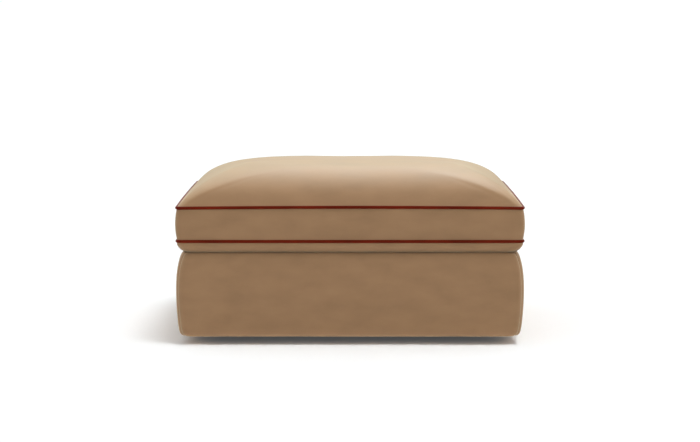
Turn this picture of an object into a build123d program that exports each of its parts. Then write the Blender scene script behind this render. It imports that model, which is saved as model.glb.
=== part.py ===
from build123d import *
import os
from math import copysign, cos, radians, sin

# Upholstered ottoman with a loose box cushion, in millimetres. The origin is on the
# floor under the middle, the front faces -Y and Z points up.

# Overall sizes
width = 914.0  # across the cushion's piping, left to right
depth = 711.0  # across the cushion's piping, front to back
base_clearance = 25.0  # floor to the underside of the base cover
base_height = 222.0  # underside of the base cover to the deck
underside_height = 28.6  # bottom of the cushion to its lower seam
band_height = 87.5  # lower seam to upper seam
crown_height = 93.0  # upper seam to the top of the crown
cushion_gap = 0.3  # between the deck and the loose cushion

# Cloth, wadding and piping
cloth = 1.5  # velvet with its backing
fit_gap = 0.3  # between soft pieces that lie against each other
cut_over = 40.0  # how far a cutting shape runs past what it cuts
piping_radius = 3.5
piping_lip_width = 10.0
piping_lip_thickness = 1.6
piping_corner_radius = 11.5  # of the cord's centre line, seen from above

# Cushion, as insets from the piping's outer line and heights from a seam
crown_flat_depth = 349.0  # flat middle of the top, front to back
crown_shares = (0.04, 0.10, 0.18, 0.28, 0.40, 0.54, 0.70, 0.86, 1.0)
crown_belly = 1.8  # power that rounds the crown off towards the middle
crown_edge = 1.3  # power that steepens it beside the seam
crown_corner_share = 0.8  # growth of the corner radius for each inset
underside_run = 22.0
underside_shares = (0.1, 0.25, 0.45, 0.7, 1.0)
band_shares = (0.0, 0.15, 0.3, 0.5, 0.7, 0.85, 1.0)
underside_belly = 2.0
underside_edge = 1.3
core_height = 127.0
core_drop = 12.0  # foam core below the lower seam
core_inset = 34.0
core_corner_radius = 30.0
mitre_reach = 70.0  # depth of the corner mitres, in from the outer line

# Zip in the middle of the rear band
zip_end_setback = 137.0  # outer line to each end of the coils
zip_slot_margin = 20.0  # slot past each end of the coils, for the pull to lie in
tape_tail = 12.0  # tape past each end of the slot
zip_depth = 6.0  # outer line to the middle of the tapes
zip_slot = 12.0  # opening between the two halves of the rear band
rear_wrap = 60.0  # rear band round the rear corners
tape_thickness = 0.6
tape_width = 16.0
tape_gap = 1.2  # between the two tapes, for the slider's post
coil_width = 2.6
coil_height = 1.6
stop_length = 3.0
slider_length = 12.0
slider_plate = 1.0
slider_flange = 1.0
slider_post = 0.8
slider_clearance = 0.3
post_length = 4.0
bridge_length = 8.0
bridge_width = 1.8
bridge_bar = 0.8
pull_pin_radius = 0.6
pull_pin_space = 1.6  # height under the bridge
pull_arm = 1.0
pull_arm_gap = 0.3
pull_arm_length = 5.2
pull_tab_length = 20.0
pull_tab_width = 6.0
pull_hole_radius = 1.4

# Base cover, as insets from the outer line
base_draw = 18.0  # how far the cover is drawn in at its top and bottom edges
base_corner_radius = 24.0
base_corner_share = 0.5
base_profile_shares = (
    (0.0, 0.85), (0.012, 0.6), (0.04, 0.42), (0.1, 0.28), (0.2, 0.17), (0.38, 0.04), (0.55, 0.0),
    (0.72, 0.07), (0.845, 0.26), (0.93, 0.49), (0.98, 0.73), (1.0, 1.0),
)
hem_width = 30.0
dust_cover = 0.8
dust_cover_inset = 31.0
dust_cover_corner_radius = 30.0

# Frame
frame_inset = 27.0
rail_thickness = 22.0
rail_corner_radius = 12.0
stretcher_thickness = 22.0
stretcher_height = 60.0
block_leg = 285.0
block_height = 24.0
deck_foam = 32.0
hessian = 1.0

# Feet, with their bolts and glides
foot_inset = 120.0  # from the frame's inner corner to the foot's middle
foot_top_radius = 28.0
foot_bottom_radius = 24.0
foot_swell = 2.0
glide_radius = 18.0
glide_height = 3.0
glide_stem_radius = 1.8
glide_stem_length = 10.0
bolt_radius = 4.0
bolt_clearance = 0.1
bolt_in_foot = 12.0
tee_flange_radius = 10.0
tee_flange = 1.5
tee_barrel_radius = 5.3
tee_barrel_length = 12.0
foot_hole_clearance = 2.0

# Sinuous springs, their clips, nails and tie wires
spring_count = 5
spring_wire = 3.8
spring_loop_width = 50.0
spring_pitch = 30.0  # wished distance between two bars
spring_end_setback = 14.0  # frame's outer face to the last bar
clip_plate = 1.2
clip_width = 16.0
clip_clearance = 0.2
clip_tail = 12.0
clip_lip = 3.0
nail_setback = 8.0  # last bar to the nails
nail_spacing = 8.0
nail_radius = 1.2
nail_length = 16.0
nail_head_radius = 2.6
nail_head = 0.8
fastener_sides = 6
cord_sides = 8
wire_sides = 4
turn_angles = (60.0, 120.0)  # where the wire bends in each half turn
tie_radius = 1.6
tie_overhang = 12.0
tie_share = 0.3  # place of each tie wire, of the frame's depth from its middle

# Frame screws
screw_radius = 2.2
screw_length = 48.0
screw_head_radius = 4.2
screw_head = 2.4
screw_sink = 2.0  # rail's face to the screw's head
screw_clearance = 0.1
butt_screw_shares = (0.2, 0.5, 0.8)  # up the rails
block_screw_setbacks = (50.0, 200.0)  # from the frame's inner corner, along each rail

# Heights that follow
deck_height = base_clearance + base_height
cushion_bottom = deck_height + cushion_gap
lower_seam = cushion_bottom + underside_height
upper_seam = lower_seam + band_height
middle_seam = (lower_seam + upper_seam) / 2
frame_bottom = base_clearance + cloth
deck_foam_top = deck_height - cloth - fit_gap
hessian_top = deck_foam_top - deck_foam
clip_top = hessian_top - hessian - fit_gap
spring_height = clip_top - clip_plate - clip_clearance - spring_wire / 2
rail_top = spring_height - spring_wire / 2 - clip_clearance - clip_plate
rail_height = rail_top - frame_bottom
block_top = frame_bottom + block_height
frame_width = width - 2 * frame_inset
frame_depth = depth - 2 * frame_inset
inner_width = frame_width - 2 * rail_thickness
inner_depth = frame_depth - 2 * rail_thickness
lip_half = piping_lip_thickness / 2
soft_skin = cloth + fit_gap
seam_corner_radius = piping_corner_radius + piping_radius
crown_run = (depth - crown_flat_depth) / 2
zip_length = width - 2 * zip_end_setback
slot_length = zip_length + 2 * zip_slot_margin
tape_length = slot_length + 2 * tape_tail
corners = (("front_left", -1, -1), ("front_right", 1, -1), ("rear_left", -1, 1), ("rear_right", 1, 1))


def write(shape, name):
    """Keep a piece, or a group of like pieces, under its node's name."""
    export_step(shape, f"parts/{name}.step")


def slab(x_size, y_size, z_low, z_high):
    """A box centred on the origin in plan, between two heights."""
    return Pos(0, 0, (z_low + z_high) / 2) * Box(x_size, y_size, z_high - z_low)


def plan(inset, radius, height):
    """A rounded rectangle inside the piping's outer line, at a height."""
    return Pos(0, 0, height) * RectangleRounded(width - 2 * inset, depth - 2 * inset, radius)


def rounded_block(inset, radius, z_low, z_high):
    """A straight block with rounded upright corners."""
    return extrude(plan(inset, radius, z_low), z_high - z_low)


def side_space(side):
    """The space that holds one side of the ottoman, mitred at its corners."""
    along, across = (width, depth) if side in ("front", "rear") else (depth, width)
    long_half = along / 2
    short_half = across / 2
    outline = Polyline(
        (-long_half - cut_over, -short_half - cut_over),
        (long_half + cut_over, -short_half - cut_over),
        (long_half - mitre_reach, -short_half + mitre_reach),
        (-long_half + mitre_reach, -short_half + mitre_reach),
        close=True,
    )
    turns = {"front": 0, "right": 90, "rear": 180, "left": 270}
    wedge = extrude(make_face(outline), upper_seam + cut_over)
    return Rot(0, 0, turns[side]) * wedge


# Cushion


def crown_levels(seam, rise, run, shares, belly, edge, skin):
    """Insets, corner radii and heights up a crown; a negative rise goes down."""
    levels = []
    for share in shares:
        inset = run * share + skin
        climb = (abs(rise) - skin) * (1 - (1 - share) ** belly) ** (1 / edge)
        radius = seam_corner_radius + crown_corner_share * run * share
        levels.append((inset, radius, seam + copysign(climb, rise)))
    return levels


def top_levels(skin):
    return crown_levels(upper_seam, crown_height, crown_run, crown_shares, crown_belly, crown_edge, skin)


def underside_levels(skin):
    return crown_levels(
        lower_seam, -underside_height, underside_run, underside_shares, underside_belly, underside_edge, skin
    )


def through(levels):
    """A solid lofted in straight steps through rounded rectangles."""
    return loft([plan(*level) for level in levels], ruled=True)


def panel(levels_at, seam, direction):
    """A domed cloth panel whose rim stands on the piping."""
    rim = seam + direction * piping_radius
    outside = through([(piping_radius, seam_corner_radius, rim)] + levels_at(0))
    inside = through([(piping_radius + cloth, seam_corner_radius, rim)] + levels_at(cloth))
    return outside - inside


def domed_pad(levels_at, seam, direction):
    """The wadding under a panel, from the piping's lip outwards, hollowed for the core."""
    foot = (2 * piping_radius + fit_gap, seam_corner_radius, seam + direction * lip_half)
    rim = (piping_radius + soft_skin, seam_corner_radius, seam + direction * piping_radius)
    return through([foot, rim] + levels_at(soft_skin)) - foam_core()


def foam_core():
    low = lower_seam - core_drop
    return rounded_block(core_inset, core_corner_radius, low, low + core_height)


def band_block(skin, edge_inset, margin):
    """The cushion between its seams, swelling in a shallow bow at half height."""
    low = lower_seam + margin
    high = upper_seam - margin
    levels = []
    for share in band_shares:
        inset = skin + (edge_inset - skin) * (2 * share - 1) ** 2
        levels.append((inset, seam_corner_radius, low + (high - low) * share))
    return through(levels)


def side_wadding():
    """The wadding round the core, before it is mitred into four strips."""
    ring = band_block(soft_skin, 2 * piping_radius + fit_gap, lip_half) - foam_core()
    groove_depth = zip_depth + tape_thickness / 2 + slider_clearance + slider_plate + slider_clearance
    groove_height = 2 * (tape_width + tape_gap)
    groove_place = Pos(0, depth / 2 - groove_depth / 2, middle_seam)
    groove = groove_place * Box(tape_length + 2 * fit_gap, groove_depth, groove_height)
    return ring - groove


def band_shell():
    outside = band_block(0, piping_radius, piping_radius)
    inside = band_block(cloth, piping_radius + cloth, piping_radius)
    return outside - inside


def rear_space(z_low, z_high):
    """The space behind the joint of the front and rear bands."""
    reach = rear_wrap + cut_over
    return Pos(0, depth / 2 - rear_wrap + reach / 2, 0) * slab(width + 2 * cut_over, reach, z_low, z_high)


def zip_half_band(direction):
    """Half of the rear band, with the folded lip that the zip's tape is sewn to."""
    rear = rear_space(middle_seam, upper_seam) if direction > 0 else rear_space(lower_seam, middle_seam)
    slot = Pos(0, depth / 2, middle_seam) * Box(slot_length, 2 * zip_depth, zip_slot)
    lip_depth = zip_depth - tape_thickness / 2
    lip_height = middle_seam + direction * (zip_slot + cloth) / 2
    lip_middle = depth / 2 - lip_depth / 2 - cloth / 4
    lip = Pos(0, lip_middle, lip_height) * Box(slot_length, lip_depth - cloth / 2, cloth)
    return (band_shell() & rear) - slot + lip


def piping(seam):
    """A cord in its cover, with the flat lip that is sewn between two panels."""
    line = RectangleRounded(width - 2 * piping_radius, depth - 2 * piping_radius, piping_corner_radius)
    route = line.face().outer_wire()
    start = Plane(origin=route @ 0, z_dir=route % 0)
    cord = sweep(start * RegularPolygon(piping_radius, cord_sides), route)
    lip = rounded_block(piping_radius, piping_corner_radius, -lip_half, lip_half)
    hollow = rounded_block(
        piping_radius + piping_lip_width, piping_corner_radius, -piping_lip_thickness, piping_lip_thickness
    )
    return Pos(0, 0, seam) * (cord + (lip - hollow))


# Zip: its parts are drawn along X with Y outwards from the middle of the tapes


def on_rear(shape):
    """Move a zip part to the rear band."""
    return Pos(0, depth / 2 - zip_depth, middle_seam) * shape


def both_sides(shape):
    return Compound(children=[shape, mirror(shape, about=Plane.XY)])


def zip_tapes():
    middle = (tape_gap + tape_width) / 2
    return both_sides(Pos(0, 0, middle) * Box(tape_length, tape_thickness, tape_width))


def zip_coils():
    middle = (tape_gap + coil_width) / 2
    height = (tape_thickness + coil_height) / 2
    return both_sides(Pos(0, height, middle) * Box(zip_length - 2 * stop_length, coil_height, coil_width))


def zip_stops():
    height = (tape_thickness + coil_height) / 2
    reach = (zip_length - stop_length) / 2
    block = Box(stop_length, coil_height, tape_gap + 2 * coil_width)
    return Compound(children=[Pos(end * reach, height, 0) * block for end in (-1, 1)])


slider_rest = zip_length / 2 - stop_length - slider_clearance - slider_length / 2
plate_low = tape_thickness / 2 + coil_height + slider_clearance
plate_high = plate_low + slider_plate
inner_plate_high = -tape_thickness / 2 - slider_clearance
slider_half = tape_gap / 2 + coil_width + slider_clearance + slider_flange


def band_in_y(x_size, y_low, y_high, z_size):
    """A small box centred in X and Z, between two distances from the tapes."""
    return Pos(0, (y_low + y_high) / 2, 0) * Box(x_size, y_high - y_low, z_size)


def zip_slider():
    """Two plates joined by the post between the coils, with flanges and a bridge."""
    outer = band_in_y(slider_length, plate_low, plate_high, 2 * slider_half)
    inner = band_in_y(slider_length, inner_plate_high - slider_plate, inner_plate_high, 2 * slider_half)
    post = band_in_y(post_length, inner_plate_high - slider_plate, plate_high, slider_post)
    flange_low = tape_thickness / 2 + slider_clearance
    flange = band_in_y(slider_length, flange_low, plate_high, slider_flange)
    flange_place = slider_half - slider_flange / 2
    flanges = [Pos(0, 0, side * flange_place) * flange for side in (-1, 1)]
    arch = band_in_y(bridge_length, plate_high, plate_high + pull_pin_space + bridge_bar, bridge_width)
    mouth = band_in_y(
        bridge_length - 2 * bridge_bar, plate_high, plate_high + pull_pin_space, bridge_width + slider_clearance
    )
    return outer + inner + post + flanges[0] + flanges[1] + (arch - mouth)


def zip_pull():
    """A tab on two arms that turn with a pin under the slider's bridge."""
    pin_height = plate_high + pull_pin_space / 2
    arm_place = bridge_width / 2 + pull_arm_gap + pull_arm / 2
    pin_length = 2 * arm_place + pull_arm
    pin = Cylinder(pull_pin_radius, pin_length)
    arm = Pos(-pull_arm_length / 2, 0, 0) * Box(pull_arm_length, pull_arm, pull_arm)
    tab_middle = -pull_arm_length - pull_tab_length / 2
    tab_face = RectangleRounded(pull_tab_length, pull_tab_width, pull_arm) - Pos(
        -pull_tab_length / 2 + pull_tab_width / 2, 0
    ) * Circle(pull_hole_radius)
    tab = extrude(Plane.XZ * tab_face, pull_arm / 2, both=True)
    arms = [Pos(0, 0, side * arm_place) * arm for side in (-1, 1)]
    return Pos(0, pin_height, 0) * (pin + arms[0] + arms[1] + Pos(tab_middle, 0, 0) * tab)


# Base cover and padding


def base_levels(skin):
    """Insets, corner radii and heights up the padded base."""
    low = base_clearance + skin
    high = deck_height - skin
    levels = []
    for height_share, inset_share in base_profile_shares:
        inset = base_draw * inset_share
        radius = base_corner_radius + base_corner_share * inset
        levels.append((inset + skin, radius, low + (high - low) * height_share))
    return levels


def base_shell():
    """The whole cover, turned under all round and open in the middle of its underside."""
    opening = rounded_block(
        base_draw + hem_width, base_corner_radius, base_clearance - cloth, base_clearance + 2 * cloth
    )
    return through(base_levels(0)) - through(base_levels(cloth)) - opening


def frame_block(z_low, z_high):
    """The frame's outline with its rounded upright corners, between two heights."""
    return rounded_block(frame_inset, rail_corner_radius, z_low, z_high)


def base_padding():
    """The wadding round the frame, before it is mitred into four."""
    return through(base_levels(soft_skin)) - frame_block(base_clearance, deck_height)


def dust_sheet():
    sheet = rounded_block(
        dust_cover_inset, dust_cover_corner_radius, base_clearance - dust_cover, base_clearance
    )
    hole = Cylinder(foot_top_radius + foot_hole_clearance, 2 * cloth)
    for name, x_sign, y_sign in corners:
        sheet -= foot_place(x_sign, y_sign) * Pos(0, 0, base_clearance) * hole
    return sheet


# Frame


def foot_place(x_sign, y_sign):
    return Pos(x_sign * (inner_width / 2 - foot_inset), y_sign * (inner_depth / 2 - foot_inset), 0)


def long_rail(y_sign):
    """The front or rear rail, full width, with its outer upright corners rounded."""
    middle = y_sign * (frame_depth - rail_thickness) / 2
    rail = Pos(0, middle, 0) * slab(frame_width, rail_thickness, frame_bottom, rail_top)
    return rail & frame_block(frame_bottom, rail_top)


def side_rail(x_sign):
    middle = x_sign * (frame_width - rail_thickness) / 2
    return Pos(middle, 0, 0) * slab(rail_thickness, inner_depth, frame_bottom, rail_top)


def corner_block(x_sign, y_sign):
    """A triangular plate glued and screwed in a corner, bored for the foot's bolt."""
    corner = (x_sign * inner_width / 2, y_sign * inner_depth / 2)
    outline = Polyline(
        corner, (corner[0] - x_sign * block_leg, corner[1]), (corner[0], corner[1] - y_sign * block_leg), close=True
    )
    block = Pos(0, 0, frame_bottom) * extrude(make_face(outline), block_height)
    bore = Cylinder(bolt_radius + bolt_clearance, 2 * (frame_bottom + block_height))
    seat = faceted_bar(tee_barrel_radius, block_top - tee_barrel_length, block_top)
    place = foot_place(x_sign, y_sign)
    return block - place * bore - place * seat


def tee_nut():
    flange = faceted_bar(tee_flange_radius, block_top, block_top + tee_flange)
    barrel = faceted_bar(tee_barrel_radius, block_top - tee_barrel_length, block_top)
    bore = Pos(0, 0, block_top) * Cylinder(bolt_radius + bolt_clearance, 2 * (tee_barrel_length + tee_flange))
    return flange + barrel - bore


bolt_bottom = frame_bottom - bolt_in_foot
bolt_top = block_top + tee_flange


def foot_bolt():
    return Pos(0, 0, (bolt_bottom + bolt_top) / 2) * Cylinder(bolt_radius, bolt_top - bolt_bottom)


def foot():
    """A turned foot with swelling sides, bored for its bolt and its glide's stem."""
    middle_radius = (foot_top_radius + foot_bottom_radius) / 2 + foot_swell
    side = ThreePointArc(
        (foot_bottom_radius, glide_height),
        (middle_radius, (glide_height + frame_bottom) / 2),
        (foot_top_radius, frame_bottom),
    )
    rest = Polyline(side @ 1, (0, frame_bottom), (0, glide_height), side @ 0)
    body = revolve(Plane.XZ * make_face(side + rest), Axis.Z)
    bolt_hole = Pos(0, 0, frame_bottom) * Cylinder(bolt_radius, 2 * bolt_in_foot)
    stem_hole = Pos(0, 0, glide_height) * Cylinder(glide_stem_radius, 2 * glide_stem_length)
    return body - bolt_hole - stem_hole


def glide():
    disc = Pos(0, 0, glide_height / 2) * Cylinder(glide_radius, glide_height)
    return disc + faceted_bar(glide_stem_radius, glide_height, glide_height + glide_stem_length)


def at_feet(shape):
    return Compound(children=[foot_place(x_sign, y_sign) * shape for name, x_sign, y_sign in corners])


def stretcher():
    """The board that ties the front and rear rails together below the springs."""
    return slab(stretcher_thickness, inner_depth, frame_bottom, frame_bottom + stretcher_height)


# Screws, drawn from the rail's face at the origin, with their points along +Y


def faceted_bar(radius, low, high):
    """A hidden fastener's shank or head, six-sided to stay light, between two heights."""
    return Pos(0, 0, low) * extrude(RegularPolygon(radius, fastener_sides), high - low)


def screw():
    head = faceted_bar(screw_head_radius, screw_sink, screw_sink + screw_head)
    shank = faceted_bar(screw_radius, screw_sink + screw_head, screw_sink + screw_length)
    return Rot(-90, 0, 0) * (head + shank)


def screw_hole():
    """The counterbore and the pilot hole that hold a screw."""
    bore = faceted_bar(screw_head_radius + screw_clearance, -screw_sink, screw_sink + screw_head)
    pilot_end = screw_sink + screw_length + screw_clearance
    return Rot(-90, 0, 0) * (bore + faceted_bar(screw_radius + screw_clearance, 0, pilot_end))


def corner_screw_places(x_sign, y_sign):
    """Where the screws of one corner go in, and which way they point."""
    inward_y = 0 if y_sign < 0 else 180
    inward_x = 270 if x_sign < 0 else 90
    places = []
    for share in butt_screw_shares:
        across = x_sign * (frame_width - rail_thickness) / 2
        height = frame_bottom + rail_height * share
        places.append((across, y_sign * frame_depth / 2, height, inward_y))
    block_middle = frame_bottom + block_height / 2
    for setback in block_screw_setbacks:
        across = x_sign * (inner_width / 2 - setback)
        places.append((across, y_sign * frame_depth / 2, block_middle, inward_y))
        along = y_sign * (inner_depth / 2 - setback)
        places.append((x_sign * frame_width / 2, along, block_middle, inward_x))
    return places


def at_screws(shape):
    copies = []
    for name, x_sign, y_sign in corners:
        for x, y, z, turn in corner_screw_places(x_sign, y_sign):
            copies.append(Pos(x, y, z) * Rot(0, 0, turn) * shape)
    return copies


# Springs


end_bar = frame_depth / 2 - spring_end_setback
bar_count = round(2 * end_bar / spring_pitch)
bar_step = 2 * end_bar / bar_count
spring_spacing = inner_width / spring_count
spring_places = [spring_spacing * (number - (spring_count - 1) / 2) for number in range(spring_count)]


def spring():
    """One zigzag of straight bars joined by half turns, from clip to clip."""
    turn_radius = bar_step / 2
    bar_half = spring_loop_width / 2 - turn_radius
    points = []
    for number in range(bar_count + 1):
        y = -end_bar + number * bar_step
        way = 1 if number % 2 == 0 else -1
        points += [(-way * bar_half, y), (way * bar_half, y)]
        if number < bar_count:
            for angle in turn_angles:
                out = bar_half + turn_radius * sin(radians(angle))
                points.append((way * out, y + turn_radius * (1 - cos(radians(angle)))))
    route = Polyline(points)
    start = Plane(origin=route @ 0, x_dir=(0, 0, 1), z_dir=route % 0)
    section = RegularPolygon(spring_wire / 2, wire_sides, rotation=180 / wire_sides)
    return Pos(0, 0, spring_height) * sweep(start * section, route, transition=Transition.RIGHT)


def clip():
    """A strap nailed to the front rail's top and bent over the spring's last bar."""
    bend_inner = spring_wire / 2 + clip_clearance
    bend_outer = bend_inner + clip_plate
    middle = spring_height - rail_top
    ring = Circle(bend_outer) - Circle(bend_inner)
    open_side = Pos(-bend_outer, 0) * Rectangle(2 * bend_outer, 2 * bend_inner)
    plate = Pos(-clip_tail / 2, -bend_inner - clip_plate / 2) * Rectangle(clip_tail, clip_plate)
    lip = Pos(-clip_lip / 2, bend_inner + clip_plate / 2) * Rectangle(clip_lip, clip_plate)
    left_half = Pos(-bend_outer / 2, 0) * Rectangle(bend_outer, 2 * bend_outer)
    section = ring - left_half - open_side + plate + lip
    strap = extrude(Plane.YZ * section, clip_width / 2, both=True)
    return Pos(0, -end_bar, rail_top + middle) * strap - clip_nails()


def clip_nails():
    """The two nails beside each other in a clip's tail."""
    along = -end_bar - nail_setback
    plate_top = rail_top + clip_plate
    shank = faceted_bar(nail_radius, plate_top - nail_length, plate_top)
    nail = shank + faceted_bar(nail_head_radius, plate_top, plate_top + nail_head)
    return [Pos(side * nail_spacing / 2, along, 0) * nail for side in (-1, 1)]


def at_clips(shapes):
    """Copies for every spring, at its front and rear ends."""
    copies = []
    for place in spring_places:
        for turn in (0, 180):
            copies += [Pos(place, 0, 0) * Rot(0, 0, turn) * shape for shape in shapes]
    return copies


def tie_wires():
    length = spring_spacing * (spring_count - 1) + spring_loop_width + 2 * tie_overhang
    height = spring_height - spring_wire / 2 - clip_clearance - tie_radius
    wire = Rot(0, 90, 0) * Cylinder(tie_radius, length)
    return Compound(children=[Pos(0, side * frame_depth * tie_share, height) * wire for side in (-1, 1)])


# Writing the pieces


def write_frame():
    screw_holes = at_screws(screw_hole())
    nail_holes = at_clips(clip_nails())
    write((long_rail(-1) - screw_holes) - nail_holes, "front_rail")
    write((long_rail(1) - screw_holes) - nail_holes, "rear_rail")
    write(side_rail(-1) - screw_holes, "left_rail")
    write(side_rail(1) - screw_holes, "right_rail")
    write(stretcher(), "centre_stretcher")
    for name, x_sign, y_sign in corners:
        write(corner_block(x_sign, y_sign) - screw_holes, f"corner_block_{name}")
        write(foot_place(x_sign, y_sign) * foot(), f"foot_{name}")
    write(at_feet(glide()), "foot_glides")
    write(at_feet(foot_bolt()), "foot_bolts")
    write(at_feet(tee_nut()), "tee_nuts")
    write(Compound(children=at_screws(screw())), "frame_screws")


def write_springs():
    for number, place in enumerate(spring_places, start=1):
        write(Pos(place, 0, 0) * spring(), f"spring_{number}")
    write(Compound(children=at_clips([clip()])), "spring_clips")
    write(Compound(children=at_clips(clip_nails())), "clip_nails")
    write(tie_wires(), "spring_tie_wires")
    write(frame_block(hessian_top - hessian, hessian_top), "spring_cover")


def write_base_upholstery():
    write(frame_block(hessian_top, deck_foam_top), "deck_foam")
    padding = base_padding()
    shell = base_shell()
    seam = deck_height - cloth
    walls = shell & slab(width + cut_over, depth + cut_over, 0, seam)
    for side in ("front", "rear", "left", "right"):
        write(padding & side_space(side), f"padding_{side}")
        write(walls & side_space(side), f"cover_{side}")
    write(shell & slab(width + cut_over, depth + cut_over, seam, deck_height + cut_over), "deck_cover")
    write(dust_sheet(), "dust_cover")


def write_cushion():
    write(foam_core(), "foam_core")
    write(domed_pad(top_levels, upper_seam, 1), "wadding_top")
    write(domed_pad(underside_levels, lower_seam, -1), "wadding_bottom")
    wadding = side_wadding()
    for side in ("front", "rear", "left", "right"):
        write(wadding & side_space(side), f"wadding_{side}")
    write(panel(top_levels, upper_seam, 1), "top_panel")
    write(panel(underside_levels, lower_seam, -1), "bottom_panel")
    write(band_shell() - rear_space(0, upper_seam), "front_band")
    write(zip_half_band(1), "rear_band_upper")
    write(zip_half_band(-1), "rear_band_lower")
    write(piping(upper_seam), "upper_piping")
    write(piping(lower_seam), "lower_piping")


def write_zip():
    write(on_rear(zip_tapes()), "zip_tapes")
    write(on_rear(zip_coils()), "zip_coils")
    write(on_rear(zip_stops()), "zip_stops")
    write(on_rear(Pos(slider_rest, 0, 0) * zip_slider()), "zip_slider")
    write(on_rear(Pos(slider_rest, 0, 0) * zip_pull()), "zip_pull")


os.makedirs("parts", exist_ok=True)
write_frame()
write_springs()
write_base_upholstery()
write_cushion()
write_zip()
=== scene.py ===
import math

import bmesh
import bpy
from bpy.props import FloatProperty, FloatVectorProperty, IntProperty, PointerProperty
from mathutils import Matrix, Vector, noise


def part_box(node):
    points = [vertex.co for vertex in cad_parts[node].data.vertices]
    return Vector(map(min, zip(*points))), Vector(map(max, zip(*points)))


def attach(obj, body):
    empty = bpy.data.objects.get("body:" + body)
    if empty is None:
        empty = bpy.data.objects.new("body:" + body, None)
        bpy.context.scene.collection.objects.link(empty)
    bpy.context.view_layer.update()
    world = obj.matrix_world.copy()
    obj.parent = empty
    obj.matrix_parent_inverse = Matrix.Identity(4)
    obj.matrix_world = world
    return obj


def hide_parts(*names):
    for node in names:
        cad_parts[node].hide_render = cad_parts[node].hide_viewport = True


# The looks of an upholstered ottoman with a loose box cushion, in metres. The front faces
# -Y, Z points up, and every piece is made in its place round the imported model.

bl_info = {
    "name": "Box Cushion Ottoman",
    "version": (1, 0, 0),
    "blender": (4, 5, 0),
    "location": "3D View > Sidebar > Ottoman",
    "description": "Upholsters the packed model of an ottoman with a loose box cushion",
    "category": "Add Mesh",
}

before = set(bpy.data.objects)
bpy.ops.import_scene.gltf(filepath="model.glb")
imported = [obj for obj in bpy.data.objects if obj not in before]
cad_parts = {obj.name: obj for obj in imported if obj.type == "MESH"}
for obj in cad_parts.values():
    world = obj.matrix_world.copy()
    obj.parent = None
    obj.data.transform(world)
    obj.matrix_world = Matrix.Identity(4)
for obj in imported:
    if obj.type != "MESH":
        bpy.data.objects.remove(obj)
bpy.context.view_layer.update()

SIDES = ("front", "right", "rear", "left")
CORNERS = ("front_left", "front_right", "rear_right", "rear_left")

# Shares of a panel's run from its seam to its flat middle, one for each ring of faces
CROWN_SHARES = (
    0.02, 0.045, 0.075, 0.11, 0.15, 0.195, 0.245, 0.3, 0.36, 0.425, 0.495, 0.57, 0.65, 0.735, 0.825,
    0.915, 1.0,
)
UNDERSIDE_SHARES = (0.1, 0.18, 0.28, 0.4, 0.55, 0.75, 1.0)
# Shares of the band's half height, from its middle to a seam
BAND_SHARES = (0.14, 0.3, 0.48, 0.65, 0.82, 0.93)
# Share of the base's height, and share of how far its cover is drawn in there
BASE_PROFILE_SHARES = (
    (0.0, 0.85), (0.004, 0.71), (0.012, 0.6), (0.024, 0.5), (0.04, 0.42), (0.066, 0.34), (0.1, 0.28),
    (0.145, 0.22), (0.2, 0.17), (0.29, 0.1), (0.38, 0.04), (0.55, 0.0), (0.64, 0.025), (0.72, 0.07),
    (0.79, 0.155), (0.845, 0.26), (0.89, 0.37), (0.93, 0.49), (0.96, 0.61), (0.98, 0.73), (0.993, 0.86),
    (1.0, 1.0),
)
# Share of the hem's width, and share of how far its padded edge hangs down there
HEM_SHARES = ((1.0, 0.0), (0.7, 0.12), (0.4, 0.55), (0.2, 0.85), (0.05, 1.0))
# Shares of the deck border's width, from its outer edge to its inner edge
BORDER_SHARES = (0.0, 0.04, 0.3, 0.65, 0.96, 1.0)
# Share of a small bar's length, and share of its radius there
BAR_SHARES = ((-0.5, 0.25), (-0.36, 0.85), (0.0, 1.0), (0.36, 0.85), (0.5, 0.25))
# Faces along the long sides, the short sides and each corner of a loop
FINE_STEPS = (66, 50, 8)
CORD_STEPS = (60, 46, 16)
COARSE_STEPS = (20, 16, 4)

# How far the cushion's weight has pressed the deck down
DECK_SINK = 0.002
# Air between a cover and its wadding, between the wadding and a seam, and between two layers
LINING_GAP = 0.0003
WADDING_GAP = 0.001
LAYER_GAP = 0.0002
# Points nearer than this are one point
WELD = 1e-6
# Edges that turn by more than this are shaded sharp
SHARP_ANGLE = math.radians(50)

# Colours of the pieces inside and of the metal, the light one first
WADDING_COLOURS = ((0.86, 0.86, 0.84), (0.7, 0.7, 0.67))
CAMBRIC_COLOURS = ((0.03, 0.03, 0.032), (0.012, 0.012, 0.013))
FOAM_COLOURS = ((0.85, 0.8, 0.64), (0.78, 0.7, 0.48))
TAPE_COLOURS = ((0.24, 0.155, 0.09), (0.1, 0.062, 0.034))
PINE_COLOURS = ((0.62, 0.42, 0.22), (0.42, 0.25, 0.11))
BIRCH_COLOURS = ((0.7, 0.52, 0.31), (0.5, 0.34, 0.18))
FLOOR_COLOURS = ((0.93, 0.95, 0.96), (0.91, 0.93, 0.94))
DECKING_COLOUR = (0.55, 0.46, 0.34)
HESSIAN_COLOUR = (0.42, 0.3, 0.16)
THREAD_COLOUR = (0.2, 0.13, 0.075)
COIL_COLOUR = (0.16, 0.1, 0.058)
GLIDE_COLOUR = (0.35, 0.34, 0.32)
ZIP_METAL_COLOUR = (0.52, 0.48, 0.42)
STAPLE_COLOUR = (0.6, 0.6, 0.6)
SPRING_COLOUR = (0.2, 0.2, 0.22)
ZINC_COLOUR = (0.62, 0.62, 0.6)
CLIP_COLOUR = (0.3, 0.31, 0.34)


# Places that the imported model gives


def middle_of(node):
    """The middle of a node's box."""
    low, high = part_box(node)
    return (low + high) / 2


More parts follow.
